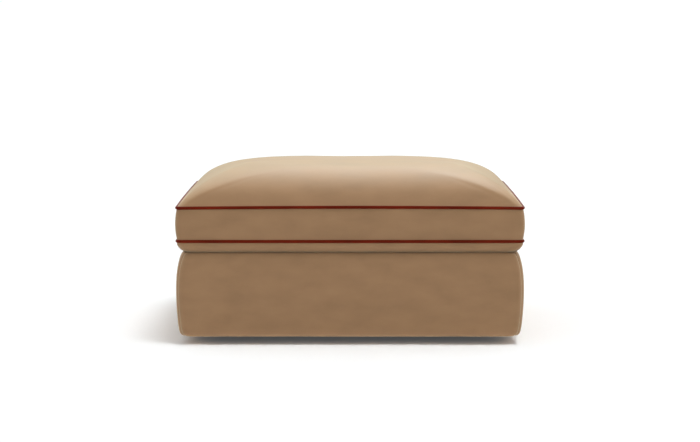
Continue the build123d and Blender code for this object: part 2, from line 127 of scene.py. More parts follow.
half_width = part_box("upper_piping")[1].x
half_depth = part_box("upper_piping")[1].y
upper_seam = middle_of("upper_piping").z
lower_seam = middle_of("lower_piping").z
middle_seam = (lower_seam + upper_seam) / 2
crown_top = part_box("top_panel")[1].z
cushion_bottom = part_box("bottom_panel")[0].z - DECK_SINK
base_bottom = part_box("cover_front")[0].z
deck_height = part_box("deck_cover")[1].z - DECK_SINK


# Sizes and colours


class CushionSizes(bpy.types.PropertyGroup):
    """Sizes of the loose cushion"""

    piping_radius: FloatProperty(
        name="Piping Radius", description="Half the thickness of the covered cord",
        default=0.0035, unit="LENGTH",
    )
    seam_radius: FloatProperty(
        name="Seam Corner Radius", description="Corner radius of the seams, seen from above", default=0.0115,
        unit="LENGTH",
    )
    crown_run: FloatProperty(
        name="Crown Run", description="Outer line to the flat middle of the top", default=0.195, unit="LENGTH"
    )
    crown_rounding: FloatProperty(
        name="Crown Rounding", description="Power that rounds the crown off towards its middle", default=1.69
    )
    crown_steepness: FloatProperty(
        name="Crown Steepness", description="Power that steepens the crown beside the seam", default=1.35
    )
    corner_growth: FloatProperty(
        name="Corner Growth", description="Growth of the corner radius for each inset", default=0.73
    )
    seam_pinch: FloatProperty(
        name="Seam Pinch", description="Width of the crown that its seam holds down",
        default=0.011, unit="LENGTH",
    )
    underside_run: FloatProperty(
        name="Underside Run", description="Outer line to where the cushion rests",
        default=0.022, unit="LENGTH",
    )
    seam_rise: FloatProperty(
        name="Seam Rise", description="Rise of the upper seam in the middle of a side",
        default=0.0027, unit="LENGTH",
    )
    cloth: FloatProperty(name="Cloth", description="Thickness of the velvet", default=0.0015, unit="LENGTH")
    swell_pressure: FloatProperty(
        name="Swell Pressure", description="Air pressure in the cloth simulation", default=4.0
    )
    swell_height: FloatProperty(
        name="Swell Height", description="Largest move that the cloth simulation makes", default=0.0045,
        unit="LENGTH",
    )
    band_bulge: FloatProperty(
        name="Band Bulge", description="How far the band bulges out between its seams", default=0.0012,
        unit="LENGTH",
    )
    swell_frames: IntProperty(name="Swell Frames", description="Frames of the cloth simulation", default=20)


class BaseSizes(bpy.types.PropertyGroup):
    """Sizes of the upholstered base"""

    draw: FloatProperty(
        name="Draw", description="How far the cover is drawn in at its edges", default=0.018, unit="LENGTH"
    )
    padding_swell: FloatProperty(
        name="Padding Swell", description="How far the padding swells the sides out",
        default=0.0018, unit="LENGTH",
    )
    corner_radius: FloatProperty(
        name="Corner Radius", description="Radius of the upright corners", default=0.024, unit="LENGTH"
    )
    hem: FloatProperty(
        name="Hem", description="Width of the cover's turned-under edge", default=0.03, unit="LENGTH"
    )
    hem_roll: FloatProperty(
        name="Hem Roll", description="How far the padded lower edge hangs below the frame", default=0.0038,
        unit="LENGTH",
    )
    deck_border: FloatProperty(
        name="Deck Border", description="Width of the velvet border of the deck", default=0.09, unit="LENGTH"
    )
    foot_taper: FloatProperty(
        name="Foot Taper", description="Top radius of a foot less its bottom radius",
        default=0.004, unit="LENGTH",
    )
    corner_groove: FloatProperty(
        name="Corner Groove", description="Depth of the seam down each corner", default=0.0012, unit="LENGTH"
    )
    rumple: FloatProperty(
        name="Rumple", description="Unevenness of the padding under the cover", default=0.0004, unit="LENGTH"
    )


class ZipSizes(bpy.types.PropertyGroup):
    """Sizes of the zip in the rear band"""

    slot_height: FloatProperty(
        name="Slot Height", description="Opening between the two halves of the rear band", default=0.012,
        unit="LENGTH",
    )
    slot_length: FloatProperty(
        name="Slot Length", description="Length of that opening", default=0.68, unit="LENGTH"
    )
    rear_wrap: FloatProperty(
        name="Rear Wrap", description="How far the rear band runs round the corners",
        default=0.06, unit="LENGTH",
    )
    tooth_pitch: FloatProperty(
        name="Tooth Pitch", description="Distance between two teeth of a coil", default=0.0018, unit="LENGTH"
    )
    stitch_pitch: FloatProperty(
        name="Stitch Pitch", description="Distance between two stitches", default=0.0034, unit="LENGTH"
    )


class OttomanColours(bpy.types.PropertyGroup):
    """Colours of the ottoman's finishes"""

    velvet: FloatVectorProperty(
        name="Velvet", description="Brushed velvet of the cover",
        subtype="COLOR", default=(0.262, 0.155, 0.083),
    )
    velvet_sheen: FloatVectorProperty(
        name="Velvet Sheen", description="Light that the nap catches at its rim", subtype="COLOR",
        default=(0.84, 1.0, 0.8),
    )
    piping: FloatVectorProperty(
        name="Piping", description="Velvet of the piping", subtype="COLOR", default=(0.1, 0.009, 0.003)
    )
    piping_sheen: FloatVectorProperty(
        name="Piping Sheen", description="Light that the piping's nap catches", subtype="COLOR",
        default=(1.0, 0.42, 0.3),
    )
    foot: FloatVectorProperty(
        name="Foot", description="Lacquer of the feet", subtype="COLOR", default=(0.012, 0.01, 0.009)
    )


# Points, loops and faces


def side_points(along_half, out, radius, straight_steps, corner_steps):
    """Points along one side of a rounded rectangle, from corner middle to corner middle."""
    half_steps = corner_steps // 2
    corner = []
    for step in range(half_steps, 0, -1):
        angle = math.pi / 4 * step / half_steps
        along = along_half - radius + radius * math.sin(angle)
        corner.append((along, out - radius + radius * math.cos(angle)))
    straight = along_half - radius
    points = [(-along, outward) for along, outward in corner]
    points += [(-straight + 2 * straight * step / straight_steps, out) for step in range(straight_steps + 1)]
    return points + corner[::-1]


def outline(inset, radius, height, steps):
    """A loop of points round the ottoman, from the middle of its front left corner to the right."""
    long_steps, short_steps, corner_steps = steps
    half_x = half_width - inset
    half_y = half_depth - inset
    halves = ((half_x, half_y, long_steps), (half_y, half_x, short_steps)) * 2
    points = []
    for turn, (along_half, out, straight_steps) in enumerate(halves):
        cosine = round(math.cos(turn * math.pi / 2))
        sine = round(math.sin(turn * math.pi / 2))
        for along, outward in side_points(along_half, out, radius, straight_steps, corner_steps)[:-1]:
            points.append(Vector((along * cosine + outward * sine, along * sine - outward * cosine, height)))
    return points


def side_range(side, steps):
    """First and last place of a side in a loop's points."""
    long_steps, short_steps, corner_steps = steps
    first = 0
    for name, straight_steps in zip(SIDES, (long_steps, short_steps) * 2):
        last = first + straight_steps + corner_steps
        if name == side:
            return first, last
        first = last


def add_rows(bm, loops, closed):
    """Rows of quads from loop to loop; returns the rows of vertices."""
    rows = [[bm.verts.new(point) for point in loop] for loop in loops]
    for low, high in zip(rows, rows[1:]):
        for place in range(len(low) if closed else len(low) - 1):
            beside = (place + 1) % len(low)
            bm.faces.new((low[place], low[beside], high[beside], high[place]))
    return rows


def add_fill(bm, row, steps, facing_down=False):
    """Fills a row of vertices with a grid of quads between its four corners."""
    long_steps, short_steps, corner_steps = steps
    across = long_steps + corner_steps
    deep = short_steps + corner_steps
    front = row[: across + 1]
    right = row[across : across + deep + 1]
    rear = row[across + deep : 2 * across + deep + 1][::-1]
    left = (row[2 * across + deep :] + row[:1])[::-1]
    grid = [front]
    for line in range(1, deep):
        v = line / deep
        between = [left[line]]
        for column in range(1, across):
            u = column / across
            edges = (1 - v) * front[column].co + v * rear[column].co
            edges += (1 - u) * left[line].co + u * right[line].co
            corners = (1 - v) * ((1 - u) * front[0].co + u * front[-1].co)
            corners += v * ((1 - u) * rear[0].co + u * rear[-1].co)
            between.append(bm.verts.new(edges - corners))
        grid.append(between + [right[line]])
    grid.append(rear)
    for low, high in zip(grid, grid[1:]):
        for column in range(across):
            corners = (low[column], low[column + 1], high[column + 1], high[column])
            bm.faces.new(corners[::-1] if facing_down else corners)


def add_object(name, data):
    """A new object in the scene that shows the data."""
    made = bpy.data.objects.new(name, data)
    bpy.context.scene.collection.objects.link(made)
    return made


def mesh_object(name, bm, smooth=True):
    """A new object in the scene from the mesh under construction."""
    for face in bm.faces:
        face.smooth = smooth
    mesh = bpy.data.meshes.new(name)
    bm.to_mesh(mesh)
    bm.free()
    return add_object(name, mesh)


def plain_mesh(piece):
    """The mesh that a piece shows after its modifiers, also of a curve."""
    graph = bpy.context.evaluated_depsgraph_get()
    return bpy.data.meshes.new_from_object(piece.evaluated_get(graph))


def add_smoothing(piece):
    """Rounds a piece off between its points, but keeps the corners of its open edges."""
    smooth = piece.modifiers.new("smooth", "SUBSURF")
    smooth.levels = 1
    smooth.render_levels = 1
    smooth.boundary_smooth = "PRESERVE_CORNERS"


def add_thickness(piece, thickness):
    """Smooths a sheet of faces and gives it its thickness inwards."""
    add_smoothing(piece)
    wall = piece.modifiers.new("thickness", "SOLIDIFY")
    wall.thickness = thickness
    wall.offset = -1


def sharpen_cut_edges(piece):
    """Makes a thick sheet a plain mesh with its cut edges shaded sharp, so that seams show as fine lines."""
    plain = plain_mesh(piece)
    piece.modifiers.clear()
    bm = bmesh.new()
    bm.from_mesh(plain)
    for edge in bm.edges:
        edge.smooth = edge.calc_face_angle(0.0) < SHARP_ANGLE
    bm.to_mesh(plain)
    bm.free()
    piece.data = plain


def dress(piece, finish, body, slot, *nodes):
    """Gives a piece its material and its body, in place of the nodes that it stands for."""
    piece.data.materials.clear()
    piece.data.materials.append(finish)
    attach(piece, body)
    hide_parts(*nodes)
    return piece


# Materials


class Finish:
    """A material under construction, with its node tree and its shader."""

    def __init__(self, name):
        self.material = bpy.data.materials.new(name)
        self.material.use_nodes = True
        self.tree = self.material.node_tree
        self.shader = self.tree.nodes["Principled BSDF"]

    def feed(self, node, values):
        """Gives inputs of a node their values; a socket is linked to its input."""
        for name, value in values.items():
            if isinstance(value, bpy.types.NodeSocket):
                self.tree.links.new(value, node.inputs[name])
            else:
                node.inputs[name].default_value = value

    def add(self, kind, values):
        """A new node with the values of its inputs."""
        node = self.tree.nodes.new(kind)
        self.feed(node, values)
        return node

    def place(self, stretch=(1.0, 1.0, 1.0), turn=(0.0, 0.0, 0.0)):
        """Object coordinates, stretched and turned."""
        where = self.tree.nodes.new("ShaderNodeTexCoord").outputs["Object"]
        mapping = self.add("ShaderNodeMapping", {"Vector": where, "Scale": stretch, "Rotation": turn})
        return mapping.outputs["Vector"]

    def noise(self, scale, detail=2.0, stretch=(1.0, 1.0, 1.0)):
        """Soft random patches."""
        values = {"Vector": self.place(stretch), "Scale": scale, "Detail": detail}
        return self.add("ShaderNodeTexNoise", values).outputs["Fac"]

    def stripes(self, period, direction, turn=(0.0, 0.0, 0.0)):
        """Stripes across an axis, with that distance between them."""
        values = {"Vector": self.place(turn=turn), "Scale": math.pi / 10 / period}
        made = self.add("ShaderNodeTexWave", values)
        made.bands_direction = direction
        made.wave_profile = "SIN"
        return made.outputs["Fac"]

    def combine(self, operation, first, second):
        """One sum or product of two sockets or numbers."""
        made = self.add("ShaderNodeMath", {0: first, 1: second})
        made.operation = operation
        return made.outputs[0]

    def mix(self, first, share, second):
        """The first pattern by its share, and the second one by the rest."""
        parts = [self.combine("MULTIPLY", *part) for part in ((first, share), (second, 1 - share))]
        return self.combine("ADD", *parts)

    def colour(self, share, *stops):
        """A base colour for each share, between the stops."""
        ramp = self.add("ShaderNodeValToRGB", {"Fac": share})
        elements = ramp.color_ramp.elements
        while len(elements) < len(stops):
            elements.new(0.5)
        for element, (position, colour) in zip(elements, stops):
            element.position = position
            element.color = (*colour, 1.0)
        self.feed(self.shader, {"Base Color": ramp.outputs["Color"]})

    def roughness(self, share, low, high):
        """A roughness from low to high as the share goes from 0 to 1."""
        made = self.add("ShaderNodeMapRange", {"Value": share, "To Min": low, "To Max": high})
        self.feed(self.shader, {"Roughness": made.outputs["Result"]})

    def relief(self, height, strength, distance):
        """A bump, on top of the bump that the shader may have."""
        made = self.add("ShaderNodeBump", {"Height": height, "Strength": strength, "Distance": distance})
        for below in self.shader.inputs["Normal"].links:
            self.feed(made, {"Normal": below.from_socket})
        self.feed(self.shader, {"Normal": made.outputs["Normal"]})


def shaded(colour, factor):
    """A colour made lighter or darker."""
    return tuple(min(1.0, part * factor) for part in colour)


def nap_material(name, colour, sheen, sheen_weight, patch_depth):
    """Short brushed pile: soft patches where the nap leans, fine fibres and a bright rim."""
    finish = Finish(name)
    patches = finish.noise(scale=26.0, detail=5.0, stretch=(0.45, 0.45, 1.0))
    fibres = finish.noise(scale=900.0)
    finish.colour(
        finish.mix(patches, 0.75, fibres),
        (0.3, shaded(colour, 1 - patch_depth)), (0.5, colour), (0.72, shaded(colour, 1 + patch_depth)),
    )
    finish.roughness(patches, low=0.42, high=0.52)
    finish.relief(patches, strength=0.1, distance=0.004)
    finish.relief(fibres, strength=0.06, distance=0.0006)
    finish.shader.inputs["Specular IOR Level"].default_value = 0.024
    finish.shader.inputs["Specular Tint"].default_value = (*sheen, 1.0)
    finish.shader.inputs["Sheen Weight"].default_value = sheen_weight
    finish.shader.inputs["Sheen Roughness"].default_value = 0.45
    finish.shader.inputs["Sheen Tint"].default_value = (*sheen, 1.0)
    return finish.material


def woven_material(name, colour, period, depth):
    """A plain weave: threads over and under each other, a little uneven."""
    finish = Finish(name)
    weave = finish.combine("MULTIPLY", finish.stripes(period, "X"), finish.stripes(period, "Y"))
    uneven = finish.noise(scale=60.0, detail=3.0)
    finish.colour(
        finish.mix(weave, 0.6, uneven),
        (0.1, shaded(colour, 0.55)), (0.55, colour), (0.9, shaded(colour, 1.25)),
    )
    finish.roughness(uneven, low=0.8, high=0.95)
    finish.relief(weave, strength=0.5, distance=depth)
    return finish.material


def tape_material():
    """Zip tape in a close diagonal twill."""
    finish = Finish("zip_tape_twill")
    light, dark = TAPE_COLOURS
    twill = finish.stripes(0.0009, "X", turn=(0.0, math.radians(45), 0.0))
    uneven = finish.noise(scale=300.0)
    finish.colour(finish.mix(twill, 0.7, uneven), (0.1, dark), (0.9, light))
    finish.roughness(uneven, low=0.7, high=0.9)
    finish.relief(twill, strength=0.4, distance=0.0002)
    return finish.material


def fibre_material(name, light, dark):
    """Loose polyester wadding, or felted black cloth, with tangled fibres."""
    finish = Finish(name)
    clumps = finish.noise(scale=26.0, detail=3.0)
    mixed = finish.mix(finish.noise(scale=240.0, detail=6.0), 0.5, clumps)
    finish.colour(mixed, (0.3, dark), (0.7, light))
    finish.roughness(clumps, low=0.85, high=1.0)
    finish.relief(mixed, strength=0.6, distance=0.001)
    return finish.material


def foam_material():
    """Cut foam: open cells of about a millimetre and slight yellowing."""
    finish = Finish("cut_foam")
    light, yellowed = FOAM_COLOURS
    cells = finish.add("ShaderNodeTexVoronoi", {"Vector": finish.place(), "Scale": 700.0}).outputs["Distance"]
    finish.colour(finish.noise(scale=6.0), (0.3, yellowed), (0.7, light))
    finish.roughness(cells, low=0.95, high=0.8)
    finish.relief(cells, strength=0.7, distance=0.0006)
    return finish.material


def wood_material(name, light, dark, stretch, gloss):
    """Sawn or turned wood with its grain along the short number of the stretch."""
    finish = Finish(name)
    pores = finish.noise(scale=60.0, stretch=stretch)
    grain = finish.mix(finish.noise(scale=5.0, detail=4.0, stretch=stretch), 0.7, pores)
    finish.colour(grain, (0.35, dark), (0.62, light))
    finish.roughness(pores, low=gloss, high=min(1.0, gloss + 0.2))
    finish.relief(grain, strength=0.2, distance=0.0006)
    return finish.material


def metal_material(name, colour, low, high):
    """Plated or drawn steel with faint scratches and dull spots."""
    finish = Finish(name)
    spots = finish.noise(scale=90.0, detail=4.0)
    scratches = finish.noise(scale=120.0, stretch=(1.0, 14.0, 14.0))
    finish.colour(spots, (0.3, shaded(colour, 0.75)), (0.65, shaded(colour, 1.1)))
    finish.roughness(spots, low, high)
    finish.relief(scratches, strength=0.15, distance=0.0002)
    finish.shader.inputs["Metallic"].default_value = 1.0
    return finish.material


def moulded_material(name, colour, gloss):
    """Moulded nylon with a faint grain."""
    finish = Finish(name)
    grain = finish.noise(scale=500.0)
    finish.colour(grain, (0.3, shaded(colour, 0.9)), (0.7, shaded(colour, 1.08)))
    finish.roughness(grain, low=gloss, high=gloss + 0.15)
    finish.relief(grain, strength=0.15, distance=0.0002)
    return finish.material


def shared(name, make, *colours, **numbers):
    """A material that is made once; later calls get the same one by its name."""
    return bpy.data.materials.get(name) or make(name, *colours, **numbers)


def velvet():
    """Brushed velvet of the covers."""
    colours = bpy.context.scene.ottoman_colours
    pair = (colours.velvet, colours.velvet_sheen)
    return shared("velvet_nap", nap_material, *pair, sheen_weight=0.24, patch_depth=0.09)


def wadding():
    """White polyester wadding."""
    return shared("wadding_fibres", fibre_material, *WADDING_COLOURS)


def foam():
    """Foam of the core and of the deck."""
    return bpy.data.materials.get("cut_foam") or foam_material()


def thread():
    """Sewing thread in the colour of the velvet's shade."""
    return shared("sewing_thread", moulded_material, THREAD_COLOUR, gloss=0.6)


def zip_metal():
    """Metal of the zip's slider, pull and stops."""
    return shared("zip_metal_plated", metal_material, ZIP_METAL_COLOUR, low=0.25, high=0.45)


# Rows of small pieces along a path

ROW_INPUTS = {
    "Path": "NodeSocketGeometry",
    "Piece": "NodeSocketObject",
    "Pitch": "NodeSocketFloat",
    "Facing": "NodeSocketVector",
    "Finish": "NodeSocketMaterial",
}
ROW_NODES = {
    "given": "NodeGroupInput",
    "line": "GeometryNodeMeshToCurve",
    "spaced": "GeometryNodeResampleCurve",
    "piece": "GeometryNodeObjectInfo",
    "tangent": "GeometryNodeInputTangent",
    "along": "FunctionNodeAlignRotationToVector",
    "upright": "FunctionNodeAlignRotationToVector",
    "copies": "GeometryNodeInstanceOnPoints",
    "real": "GeometryNodeRealizeInstances",
    "finish": "GeometryNodeSetMaterial",
    "made": "NodeGroupOutput",
}
# Node and output that each link starts from, and node and input that it ends at
ROW_LINKS = (
    ("given", "Path", "line", "Mesh"),
    ("line", "Curve", "spaced", "Curve"),
    ("given", "Pitch", "spaced", "Length"),
    ("given", "Piece", "piece", "Object"),
    ("tangent", "Tangent", "along", "Vector"),
    ("along", "Rotation", "upright", "Rotation"),
    ("given", "Facing", "upright", "Vector"),
    ("spaced", "Curve", "copies", "Points"),
    ("piece", "Geometry", "copies", "Instance"),
    ("upright", "Rotation", "copies", "Rotation"),
    ("copies", "Instances", "real", "Geometry"),
    ("real", "Geometry", "finish", "Geometry"),
    ("given", "Finish", "finish", "Material"),
    ("finish", "Geometry", "made", "Row"),
)
BAR_SIDES = 6
STITCH_LENGTH = 0.0026
STITCH_RADIUS = 0.00035


def row_tree():
    """Node group that repeats a small piece along a path, turned to it, in one material."""
    tree = bpy.data.node_groups.new("row_along_path", "GeometryNodeTree")
    for label, kind in ROW_INPUTS.items():
        tree.interface.new_socket(label, in_out="INPUT", socket_type=kind)
    tree.interface.new_socket("Row", in_out="OUTPUT", socket_type="NodeSocketGeometry")
    nodes = {label: tree.nodes.new(kind) for label, kind in ROW_NODES.items()}
    nodes["spaced"].mode = "LENGTH"
    nodes["along"].axis = "X"
    nodes["upright"].axis = "Z"
    nodes["upright"].pivot_axis = "X"
    for start, output, end, entry in ROW_LINKS:
        tree.links.new(nodes[start].outputs[output], nodes[end].inputs[entry])
    return tree


def make_row(name, paths, piece, pitch, facing, finish):
    """Copies of a small piece along one or more paths, as one plain mesh."""
    bm = bmesh.new()
    for points, closed in paths:
        corners = [bm.verts.new(point) for point in points]
        for first, second in zip(corners, corners[1:] + (corners[:1] if closed else [])):
            bm.edges.new((first, second))
    row = mesh_object(name, bm)
    tree = bpy.data.node_groups.get("row_along_path") or row_tree()
    repeat = row.modifiers.new("row", "NODES")
    repeat.node_group = tree
    given = {"Piece": piece, "Pitch": pitch, "Facing": facing, "Finish": finish}
    for socket in tree.interface.items_tree:
        if socket.name in given:
            repeat[socket.identifier] = given[socket.name]
    plain = plain_mesh(row)
    row.modifiers.clear()
    row.data = plain
    bpy.data.objects.remove(piece)
    return row


def turns(sides):
    """The angles of a ring's points."""
    return [2 * math.pi * side / sides for side in range(sides)]


def circle(x, y, radius, sides):
    """Points round a middle, as pairs of numbers."""
    return [(x + radius * math.cos(angle), y + radius * math.sin(angle)) for angle in turns(sides)]


def small_bar(name, length, radius, axis):
    """A small thread-like bar, thinner at its ends, along an axis."""
    bm = bmesh.new()
    loops = []
    for along, share in BAR_SHARES:
        ring = circle(0.0, 0.0, radius * share, BAR_SIDES)
        if axis == "X":
            loops.append([Vector((along * length, first, second)) for first, second in ring])
        else:
            loops.append([Vector((second, along * length, first)) for first, second in ring])
    rows = add_rows(bm, loops, closed=True)
    bm.faces.new(rows[0])
    bm.faces.new(rows[-1][::-1])
    bmesh.ops.recalc_face_normals(bm, faces=bm.faces)
    return mesh_object(name, bm)


def make_stitches(name, paths, facing, body):
    """A row of stitches along each path."""
    stitch = small_bar("stitch", STITCH_LENGTH, STITCH_RADIUS, "X")
    row = make_row(name, paths, stitch, bpy.context.scene.ottoman_zip.stitch_pitch, facing, thread())
    return dress(row, thread(), body, "velvet")


def add_box(bm, low, high, bevel):
    """A box between two corners with rounded edges."""
    box = bmesh.ops.create_cube(bm, size=1.0)["verts"]
    size = Vector(high) - Vector(low)
    middle = (Vector(high) + Vector(low)) / 2
    for vert in box:
        vert.co = Vector(part * length for part, length in zip(vert.co, size)) + middle
    edges = list({edge for vert in box for edge in vert.link_edges})
    bmesh.ops.bevel(bm, geom=edges, offset=bevel, segments=2, affect="EDGES", profile=0.6)


# Cushion

# Powers that round the underside off towards its middle and steepen it beside the seam
UNDERSIDE_ROUNDING = 2.0
UNDERSIDE_STEEPNESS = 1.3
# How far in from the outer line a face between the seams still belongs to the band
BAND_REACH = 0.012
# How near to the slot's long edges and ends its open edges lie, and share of the way that they fold in
SLOT_EDGE_REACH = 0.001
SLOT_END_REACH = 0.01
FOLD_SHARE = 0.8


def seam_loop(height, steps):
    """The line on which two panels are sewn, in the middle of the piping."""
    sizes = bpy.context.scene.ottoman_cushion
    return outline(sizes.piping_radius, sizes.seam_radius, height, steps)


def panel_loops(seam, rise, run, shares, rounding, steepness, steps, skin=0.0, pinch=0.0):
    """Loops from a seam to the flat middle of a domed panel; a negative rise goes down."""
    sizes = bpy.context.scene.ottoman_cushion
    loops = []
    for share in shares:
        climb = (abs(rise) - skin) * (1 - (1 - share) ** rounding) ** (1 / steepness)
        if pinch:
            climb *= 1 - math.exp(-run * share / pinch)
        radius = sizes.seam_radius + sizes.piping_radius + sizes.corner_growth * run * share
        loops.append(outline(run * share + skin, radius, seam + math.copysign(climb, rise), steps))
    return loops


def crown_loops(steps, skin, sunk=0.0):
    """Loops up the crown, or up a layer under it that is sunk below it."""
    sizes = bpy.context.scene.ottoman_cushion
    return panel_loops(
        upper_seam, crown_top - upper_seam - sunk, sizes.crown_run, CROWN_SHARES, sizes.crown_rounding,
        sizes.crown_steepness, steps, skin, sizes.seam_pinch,
    )


def underside_loops(steps, skin):
    """Loops down the cushion's underside."""
    sizes = bpy.context.scene.ottoman_cushion
    return panel_loops(
        lower_seam, cushion_bottom - lower_seam, sizes.underside_run, UNDERSIDE_SHARES, UNDERSIDE_ROUNDING,
        UNDERSIDE_STEEPNESS, steps, skin,
    )


def band_loops(steps, skin):
    """Loops up the band between its seams, bowed out at half height."""
    sizes = bpy.context.scene.ottoman_cushion
    radius = sizes.seam_radius + sizes.piping_radius
    half_height = (upper_seam - lower_seam) / 2
    loops = []
    for share in [-share for share in BAND_SHARES[::-1]] + [0.0] + list(BAND_SHARES):
        inset = skin + (sizes.piping_radius - skin) * share**2 - sizes.band_bulge * (1 - share**2)
        loops.append(outline(inset, radius, middle_seam + half_height * share, steps))
    return loops


def cushion_skin():
    """The whole sewn cover as one closed mesh, and the places that don't move when it swells."""
    bm = bmesh.new()
    under = underside_loops(FINE_STEPS, 0.0)[::-1]
    band = band_loops(FINE_STEPS, 0.0)
    crown = crown_loops(FINE_STEPS, 0.0)
    seams = [seam_loop(height, FINE_STEPS) for height in (lower_seam, upper_seam)]
    rows = add_rows(bm, under + seams[:1] + band + seams[1:] + crown, closed=True)
    add_fill(bm, rows[-1], FINE_STEPS)
    held_rows = (0, len(under), len(under) + len(band) + 1)
    free = set(bm.verts) - {vert for number in held_rows for vert in rows[number]}
    add_fill(bm, rows[0], FINE_STEPS, facing_down=True)
    bm.verts.index_update()
    held = [vert.index for vert in bm.verts if vert not in free]
    return mesh_object("cushion_skin", bm), held


def swell(skin, held):
    """Blows the sewn cover up with the cloth simulation, scaled to the swell height at its largest move."""
    sizes = bpy.context.scene.ottoman_cushion
    group = skin.vertex_groups.new(name="held")
    group.add(held, 1.0, "REPLACE")
    cloth = skin.modifiers.new("swelling", "CLOTH")
    cloth.settings.vertex_group_mass = group.name
    cloth.settings.use_pressure = True
    cloth.settings.uniform_pressure_force = sizes.swell_pressure
    cloth.settings.effector_weights.gravity = 0.0
    cloth.point_cache.frame_start = 1
    cloth.point_cache.frame_end = sizes.swell_frames
    for number in range(1, sizes.swell_frames + 1):
        bpy.context.scene.frame_set(number)
    graph = bpy.context.evaluated_depsgraph_get()
    swollen = skin.evaluated_get(graph).data
    moves = [after.co - before.co for before, after in zip(skin.data.vertices, swollen.vertices)]
    share = sizes.swell_height / max(move.length for move in moves)
    for vert, move in zip(skin.data.vertices, moves):
        vert.co += move * share
    skin.modifiers.remove(cloth)
    bpy.context.scene.frame_set(1)


def on_long_side(point):
    """Whether the front or the rear is the nearest side."""
    return half_depth - abs(point.y) < half_width - abs(point.x)


def lift_seam(bm):
    """Raises the upper seam a little in the middle of each side, and fades that out above and below."""
    rise = bpy.context.scene.ottoman_cushion.seam_rise
    for vert in bm.verts:
        if vert.co.z > upper_seam:
            share = max(0.0, (crown_top - vert.co.z) / (crown_top - upper_seam))
        else:
            share = max(0.0, (vert.co.z - lower_seam) / (upper_seam - lower_seam))
        if on_long_side(vert.co):
            along = min(abs(vert.co.x) / half_width, 1.0)
        else:
            along = abs(vert.co.y) / half_depth
        vert.co.z += rise * share * max(0.0, 1 - along**2)


def in_band(middle):
    """Whether a face with that middle lies in the band between the seams."""
    out_x = abs(middle.x) > half_width - BAND_REACH
    out_y = abs(middle.y) > half_depth - BAND_REACH
    return lower_seam < middle.z < upper_seam and (out_x or out_y)


def on_rear_band(middle):
    """Whether it lies in the band's rear part, which runs round both rear corners."""
    return in_band(middle) and middle.y > half_depth - bpy.context.scene.ottoman_zip.rear_wrap


def in_slot(middle):
    """Whether it lies in the opening for the zip."""
    zips = bpy.context.scene.ottoman_zip
    near = abs(middle.z - middle_seam) < zips.slot_height / 2
    return on_rear_band(middle) and near and abs(middle.x) < zips.slot_length / 2


# The faces of the sewn cover that belong to each panel, by their middle
PANELS = {
    "top_panel": lambda middle: not in_band(middle) and middle.z > upper_seam,
    "bottom_panel": lambda middle: not in_band(middle) and middle.z < lower_seam,
    "front_band": lambda middle: in_band(middle) and not on_rear_band(middle),
    "rear_band_upper": lambda middle: on_rear_band(middle) and middle.z > middle_seam and not in_slot(middle),
    "rear_band_lower": lambda middle: on_rear_band(middle) and middle.z < middle_seam and not in_slot(middle),
}


def fold_slot_edge(bm):
    """Turns the edge of the zip's slot inwards to the tape."""
    zips = bpy.context.scene.ottoman_zip
    reach = half_depth - middle_of("zip_tapes").y
    edges = []
    for edge in bm.edges:
        middle = (edge.verts[0].co + edge.verts[1].co) / 2
        near = abs(middle.z - middle_seam) < zips.slot_height / 2 + SLOT_EDGE_REACH
        inside = abs(middle.x) < zips.slot_length / 2 + SLOT_END_REACH
        if edge.is_boundary and near and inside and middle.y > 0:
            edges.append(edge)
    for folded in bmesh.ops.extrude_edge_only(bm, edges=edges)["geom"]:
        if isinstance(folded, bmesh.types.BMVert):
            folded.co.y -= reach * FOLD_SHARE


def make_cover_panels(skin):
    """Parts the sewn cover into its panels, and gives each its thickness and its cut edges."""
    made = {}
    for node, belongs in PANELS.items():
        bm = bmesh.new()
        bm.from_mesh(skin.data)
        others = [face for face in bm.faces if not belongs(face.calc_center_median())]
        bmesh.ops.delete(bm, geom=others, context="FACES")
        if node.startswith("rear"):
            fold_slot_edge(bm)
        lift_seam(bm)
        piece = mesh_object(f"{node}_velvet", bm)
        add_thickness(piece, bpy.context.scene.ottoman_cushion.cloth)
        sharpen_cut_edges(piece)
        made[node] = dress(piece, velvet(), "cushion", "velvet", node)
    return made


class OTTOMAN_OT_cushion_cover(bpy.types.Operator):
    """Sew, swell and part the cushion's cover: top, bottom, front band and both rear bands"""

    bl_idname = "ottoman.cushion_cover"
    bl_label = "Cushion Cover"

    def execute(self, context):
        skin, held = cushion_skin()
        swell(skin, held)
        panels = make_cover_panels(skin)
        bpy.data.objects.remove(skin)
        return {"FINISHED"}


# Piping

CORD_SIDES = 10
# The covered cord's radius, and its unevenness, as shares of the piping's radius in the solids
CORD_FULLNESS = 1.27
CORD_UNEVENNESS = 0.035
UNEVENNESS_SCALE = 70.0
# Where the cord's two ends overlap at the rear, over what length, and how much that adds
OVERLAP_PLACE = -0.27
OVERLAP_LENGTH = 0.012
OVERLAP_SHARE = 0.07


def add_tube(bm, points, radius_at, sides):
    """A closed tube round a closed level path; radius_at(point) gives its radius."""
    rings = []
    for place, point in enumerate(points):
        along = points[(place + 1) % len(points)] - points[place - 1]
        outward = Vector((along.y, -along.x, 0.0)).normalized()
        radius = radius_at(point)
        ring = []
        for angle in turns(sides):
            ring.append(point + outward * radius * math.cos(angle) + Vector((0, 0, radius * math.sin(angle))))
        rings.append(ring)
    add_rows(bm, rings + rings[:1], closed=True)
    bmesh.ops.remove_doubles(bm, verts=bm.verts, dist=WELD)
    bmesh.ops.recalc_face_normals(bm, faces=bm.faces)


